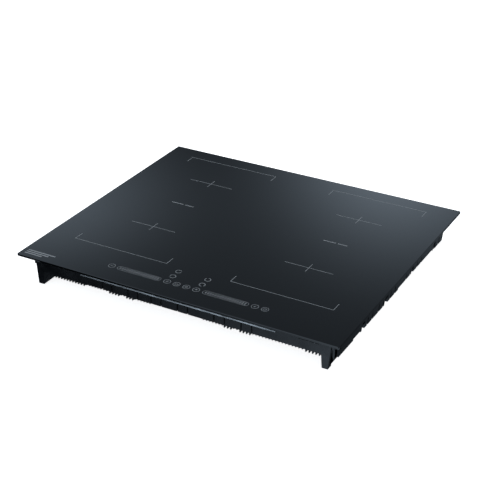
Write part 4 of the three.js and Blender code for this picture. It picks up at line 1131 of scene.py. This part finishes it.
def zone_marks():
    """Corner brackets round each pair of zones, a cross at the middle of each zone and a row of
    dashes between them."""
    s = Shape()

    def stroke(line, width=ZONE_LINE):
        s.ribbon(line, width, PRINT_Z0, PRINT_Z1)

    for _, sign in SIDES:
        inner, outer = (sign * x for x in BRACKET_X)
        for y, leg in BRACKETS:
            stroke([(inner, y + leg), (inner, y), (outer, y), (outer, y + leg)])
        x = sign * ZONE_X
        for y in ZONE_ROWS:
            stroke([(x - CROSS_ARM, y), (x + CROSS_ARM, y)])
            stroke([(x, y - CROSS_RISE), (x, y - ZONE_LINE / 2)])
            stroke([(x, y + ZONE_LINE / 2), (x, y + CROSS_RISE)])
        for k in DASHES:
            x = sign * DASH_X + k * DASH_PITCH
            if k != DASH_LEFT_OUT:
                stroke([(x - DASH_HALF, DASH_ROW), (x + DASH_HALF, DASH_ROW)], DASH_WIDTH)
    return s


def symbols():
    """The lines of each touch symbol, from the middle of its ring."""
    level = [(-2.6, 0.0), (2.6, 0.0)]
    lock = [(-2.0, -2.2), (2.0, -2.2), (2.0, 0.4), (-2.0, 0.4)]
    zigzag = [(-2.2, -1.6), (-0.4, 1.8), (0.4, -1.4), (2.2, 1.8)]
    return (
        (MINUS_KEY, level, False),
        (PLUS_KEY, level, False),
        (PLUS_KEY, [(0.0, -2.6), (0.0, -0.5)], False),
        (PLUS_KEY, [(0.0, 0.5), (0.0, 2.6)], False),
        (POWER_KEY, arc(0.0, -0.2, 2.7, 125, 415), False),
        (POWER_KEY, [(0.0, 0.8), (0.0, 3.6)], False),
        (PAUSE_KEY, [(-1.1, -2.2), (-1.1, 2.2)], False),
        (PAUSE_KEY, [(1.1, -2.2), (1.1, 2.2)], False),
        (TIMER_KEY, arc(0.0, 0.0, 2.8, 90, 400), False),
        (TIMER_KEY, [(0.3, 0.3), (1.5, 1.5)], False),
        (LOCK_KEY, lock, True),
        (LOCK_KEY, arc(0.0, 0.9, 1.4, 0, 180, 12), False),
        (KEEP_KEY, zigzag, False),
    )


def control_marks():
    """Touch symbols and the two sliders along the front."""
    s = Shape()

    def stroke(x, y, line, width=FINE_LINE, closed=False):
        s.ribbon([(x + a, y + b) for a, b in line], width, PRINT_Z0, PRINT_Z1, closed)

    for x in KEY_X:
        stroke(x, KEY_ROW, arc(0.0, 0.0, KEY_RING, 0, 345, 23), closed=True)
    for x, line, closed in symbols():
        stroke(x, KEY_ROW, line, closed=closed)
    for x, gap in zip(ZONE_KEY_X, ZONE_RING_GAPS):
        for y, turn in zip(ZONE_KEY_ROWS, ZONE_RING_TURNS):
            start = gap + turn
            stroke(x, y, arc(0.0, 0.0, ZONE_RING, start, start + ZONE_RING_SWEEP, 26), ZONE_RING_LINE)
    for x0, x1 in SLIDERS:
        left, right = x0 + SLIDER_HALF, x1 - SLIDER_HALF
        ends = arc(left, 0.0, SLIDER_HALF, 90, 270, 12) + arc(right, 0.0, SLIDER_HALF, -90, 90, 12)
        stroke(0.0, KEY_ROW, ends, SLIDER_LINE, True)
        for k in range(SLIDER_TICKS + 1):
            share = k / SLIDER_TICKS
            tall = TICK_REACH + TICK_GROWTH * share
            stroke(left + (right - left) * share, KEY_ROW, [(0.0, -tall), (0.0, tall)], TICK_LINE)
    return s


def corner_mark():
    """A plain maker's field: three level bars of falling length."""
    s = Shape()
    for k, reach in enumerate(BAR_REACH):
        y = BAR_Y - BAR_PITCH * k
        s.ribbon([(BAR_X, y), (BAR_X + reach, y)], BAR_WIDTH, PRINT_Z0, PRINT_Z1)
    return s


piece("zone_print", zone_marks(), "screen_print", smooth=0)
piece("control_print", control_marks(), "screen_print", smooth=0)
piece("corner_print", corner_mark(), "screen_print", smooth=0)


# ---- camera, floor and light

CAMERA_AIM = (1.6, -31.0, 59.0)
CAMERA_TURN = 28.45
CAMERA_RISE = 27.55
CAMERA_ROLL = 0.6
CAMERA_REACH = 2135.0
CAMERA_LENS = 94.2
CAMERA_SENSOR = 36.0

# Banks of light: heading (degrees from +Y towards -X), lift above the horizon, width and height in
# degrees, and strength. A strength below zero stands for a dark panel.
GLASS_BANKS = (
    (20.5, 23.5, 4.5, 4.2, 1.05),
    (38.5, 25.6, 4.8, 2.8, 0.66),
    (28.0, 28.0, 45.0, 30.0, 0.162),
    (30.0, 22.4, 4.5, 2.8, -0.085),
)
WALL_BANKS = (
    (164.0, -37.0, 8.8, 12.0, 1.9),
    (132.0, -30.0, 9.0, 14.0, -0.06),
    (-12.0, -20.0, 12.0, 10.0, 0.32),
    (154.0, 19.0, 4.0, 4.0, 22.0),
)
OTHER_VIEW_BANKS = (
    (138.0, 50.0, 14.0, 12.0, 1.6),
    (0.0, 84.0, 17.0, 17.0, 1.1),
    (200.0, 24.0, 30.0, 14.0, 0.34),
    (270.0, 24.0, 25.0, 14.0, 0.24),
    (92.0, 24.0, 22.0, 14.0, 0.28),
    (38.0, -26.0, 18.0, 12.0, 1.2),
    (76.0, -26.0, 16.0, 12.0, 1.0),
    (252.0, -26.0, 25.0, 12.0, 1.0),
    (207.0, -28.0, 14.0, 12.0, 1.0),
    (180.0, -73.0, 40.0, 12.0, 1.5),
    (0.0, -66.0, 40.0, 12.0, 1.3),
)
BASE_LIGHT = 0.012
BANK_COLOUR = (0.82, 0.995, 1.18, 1.0)
WHITE = (1.0, 1.0, 1.0, 1.0)
FLOOR_REACH = 30.0
FLOOR_Z = -0.0004
FLOOR_COLOUR = (0.93, 0.93, 0.93, 1.0)
FLOOR_ROUGH = 0.9
FLOOR_GLOW = 0.9


def camera():
    """Seen from the front right and above, with a long lens."""
    data = bpy.data.cameras.new("camera")
    data.sensor_width = CAMERA_SENSOR
    data.lens = CAMERA_LENS
    data.clip_start = 0.05
    data.clip_end = 60.0
    made = new_object("camera", data)
    turn, rise = math.radians(CAMERA_TURN), math.radians(CAMERA_RISE)
    out = Vector((math.sin(turn) * math.cos(rise), -math.cos(turn) * math.cos(rise), math.sin(rise)))
    look = (-out).to_track_quat("-Z", "Y") @ Quaternion((0.0, 0.0, 1.0), math.radians(CAMERA_ROLL))
    made.rotation_mode = "QUATERNION"
    made.rotation_quaternion = look
    made.location = (Vector(CAMERA_AIM) + out * CAMERA_REACH) * MM
    bpy.context.scene.camera = made


def bank_of_light(t, direction, heading, lift, wide, tall, amount):
    """A soft patch of light that fades away from its middle."""
    a, e = math.radians(heading), math.radians(lift)
    centre = Vector((-math.sin(a) * math.cos(e), math.cos(a) * math.cos(e), math.sin(e)))
    across = Vector((-math.cos(a), -math.sin(a), 0.0))
    up = centre.cross(across)
    ahead = t.vector("SUBTRACT", direction, tuple(centre))
    u = t.math("DIVIDE", t.vector("DOT_PRODUCT", ahead, tuple(across)), math.radians(wide))
    v = t.math("DIVIDE", t.vector("DOT_PRODUCT", ahead, tuple(up)), math.radians(tall))
    near = t.math("ADD", t.math("MULTIPLY", u, u), t.math("MULTIPLY", v, v))
    front = t.math("GREATER_THAN", t.vector("DOT_PRODUCT", direction, tuple(centre)), 0.0)
    bell = t.math("MULTIPLY", t.math("EXPONENT", t.math("MULTIPLY", near, -1.0)), front)
    return t.math("MULTIPLY", bell, amount)


def studio():
    """A white room to the eye, with soft banks of light for gloss and shade."""
    world = bpy.data.worlds.new("studio")
    bpy.context.scene.world = world
    world.use_nodes = True
    world.node_tree.nodes.clear()
    t = Tree(world.node_tree)
    direction = t.add("ShaderNodeTexCoord").outputs["Generated"]
    total = BASE_LIGHT
    for bank in GLASS_BANKS + WALL_BANKS + OTHER_VIEW_BANKS:
        total = t.math("ADD", total, bank_of_light(t, direction, *bank))
    banks = t.fill(t.add("ShaderNodeBackground"), {"Color": BANK_COLOUR, "Strength": total})
    white = t.fill(t.add("ShaderNodeBackground"), {"Color": WHITE, "Strength": 1.0})
    seen = t.add("ShaderNodeLightPath").outputs["Is Camera Ray"]
    room = t.either(seen, banks[0], white[0])
    t.put(t.add("ShaderNodeOutputWorld").inputs["Surface"], room)


def soft_lamp(name, place, size, power):
    """A round lamp that faces the object. It doesn't show in the glass."""
    data = bpy.data.lights.new(name, "AREA")
    data.shape = "DISK"
    data.size = size
    data.energy = power
    made = new_object(name, data)
    made.location = place
    made.rotation_mode = "QUATERNION"
    made.rotation_quaternion = (-Vector(place)).to_track_quat("-Z", "Y")
    made.visible_camera = False
    made.visible_glossy = False


def floor():
    """A pale matt floor, seen from above only."""
    mesh = bpy.data.meshes.new("floor")
    r, z = FLOOR_REACH, FLOOR_Z
    mesh.from_pydata([(-r, -r, z), (r, -r, z), (r, r, z), (-r, r, z)], [], [(0, 1, 2, 3)])
    made = new_object("floor", mesh)
    look, t, shader = new_look("floor_look")
    t.fill(shader, {"Base Color": FLOOR_COLOUR, "Roughness": FLOOR_ROUGH})
    t.fill(shader, {"Emission Color": WHITE, "Emission Strength": FLOOR_GLOW})
    clear = t.add("ShaderNodeBsdfTransparent")
    below = t.add("ShaderNodeNewGeometry").outputs["Backfacing"]
    one_sided = t.either(below, shader.outputs[0], clear.outputs[0])
    t.put(look.node_tree.nodes["Material Output"].inputs["Surface"], one_sided)
    mesh.materials.append(look)
    made.visible_glossy = False
    made.visible_diffuse = False


camera()
studio()
floor()
soft_lamp("key", (-0.9, 0.9, 2.2), 1.4, 26.0)
soft_lamp("fill", (1.6, -0.6, 1.8), 1.6, 10.0)
bpy.context.scene.view_settings.view_transform = "Standard"


# ---- close

bpy.context.view_layer.update()
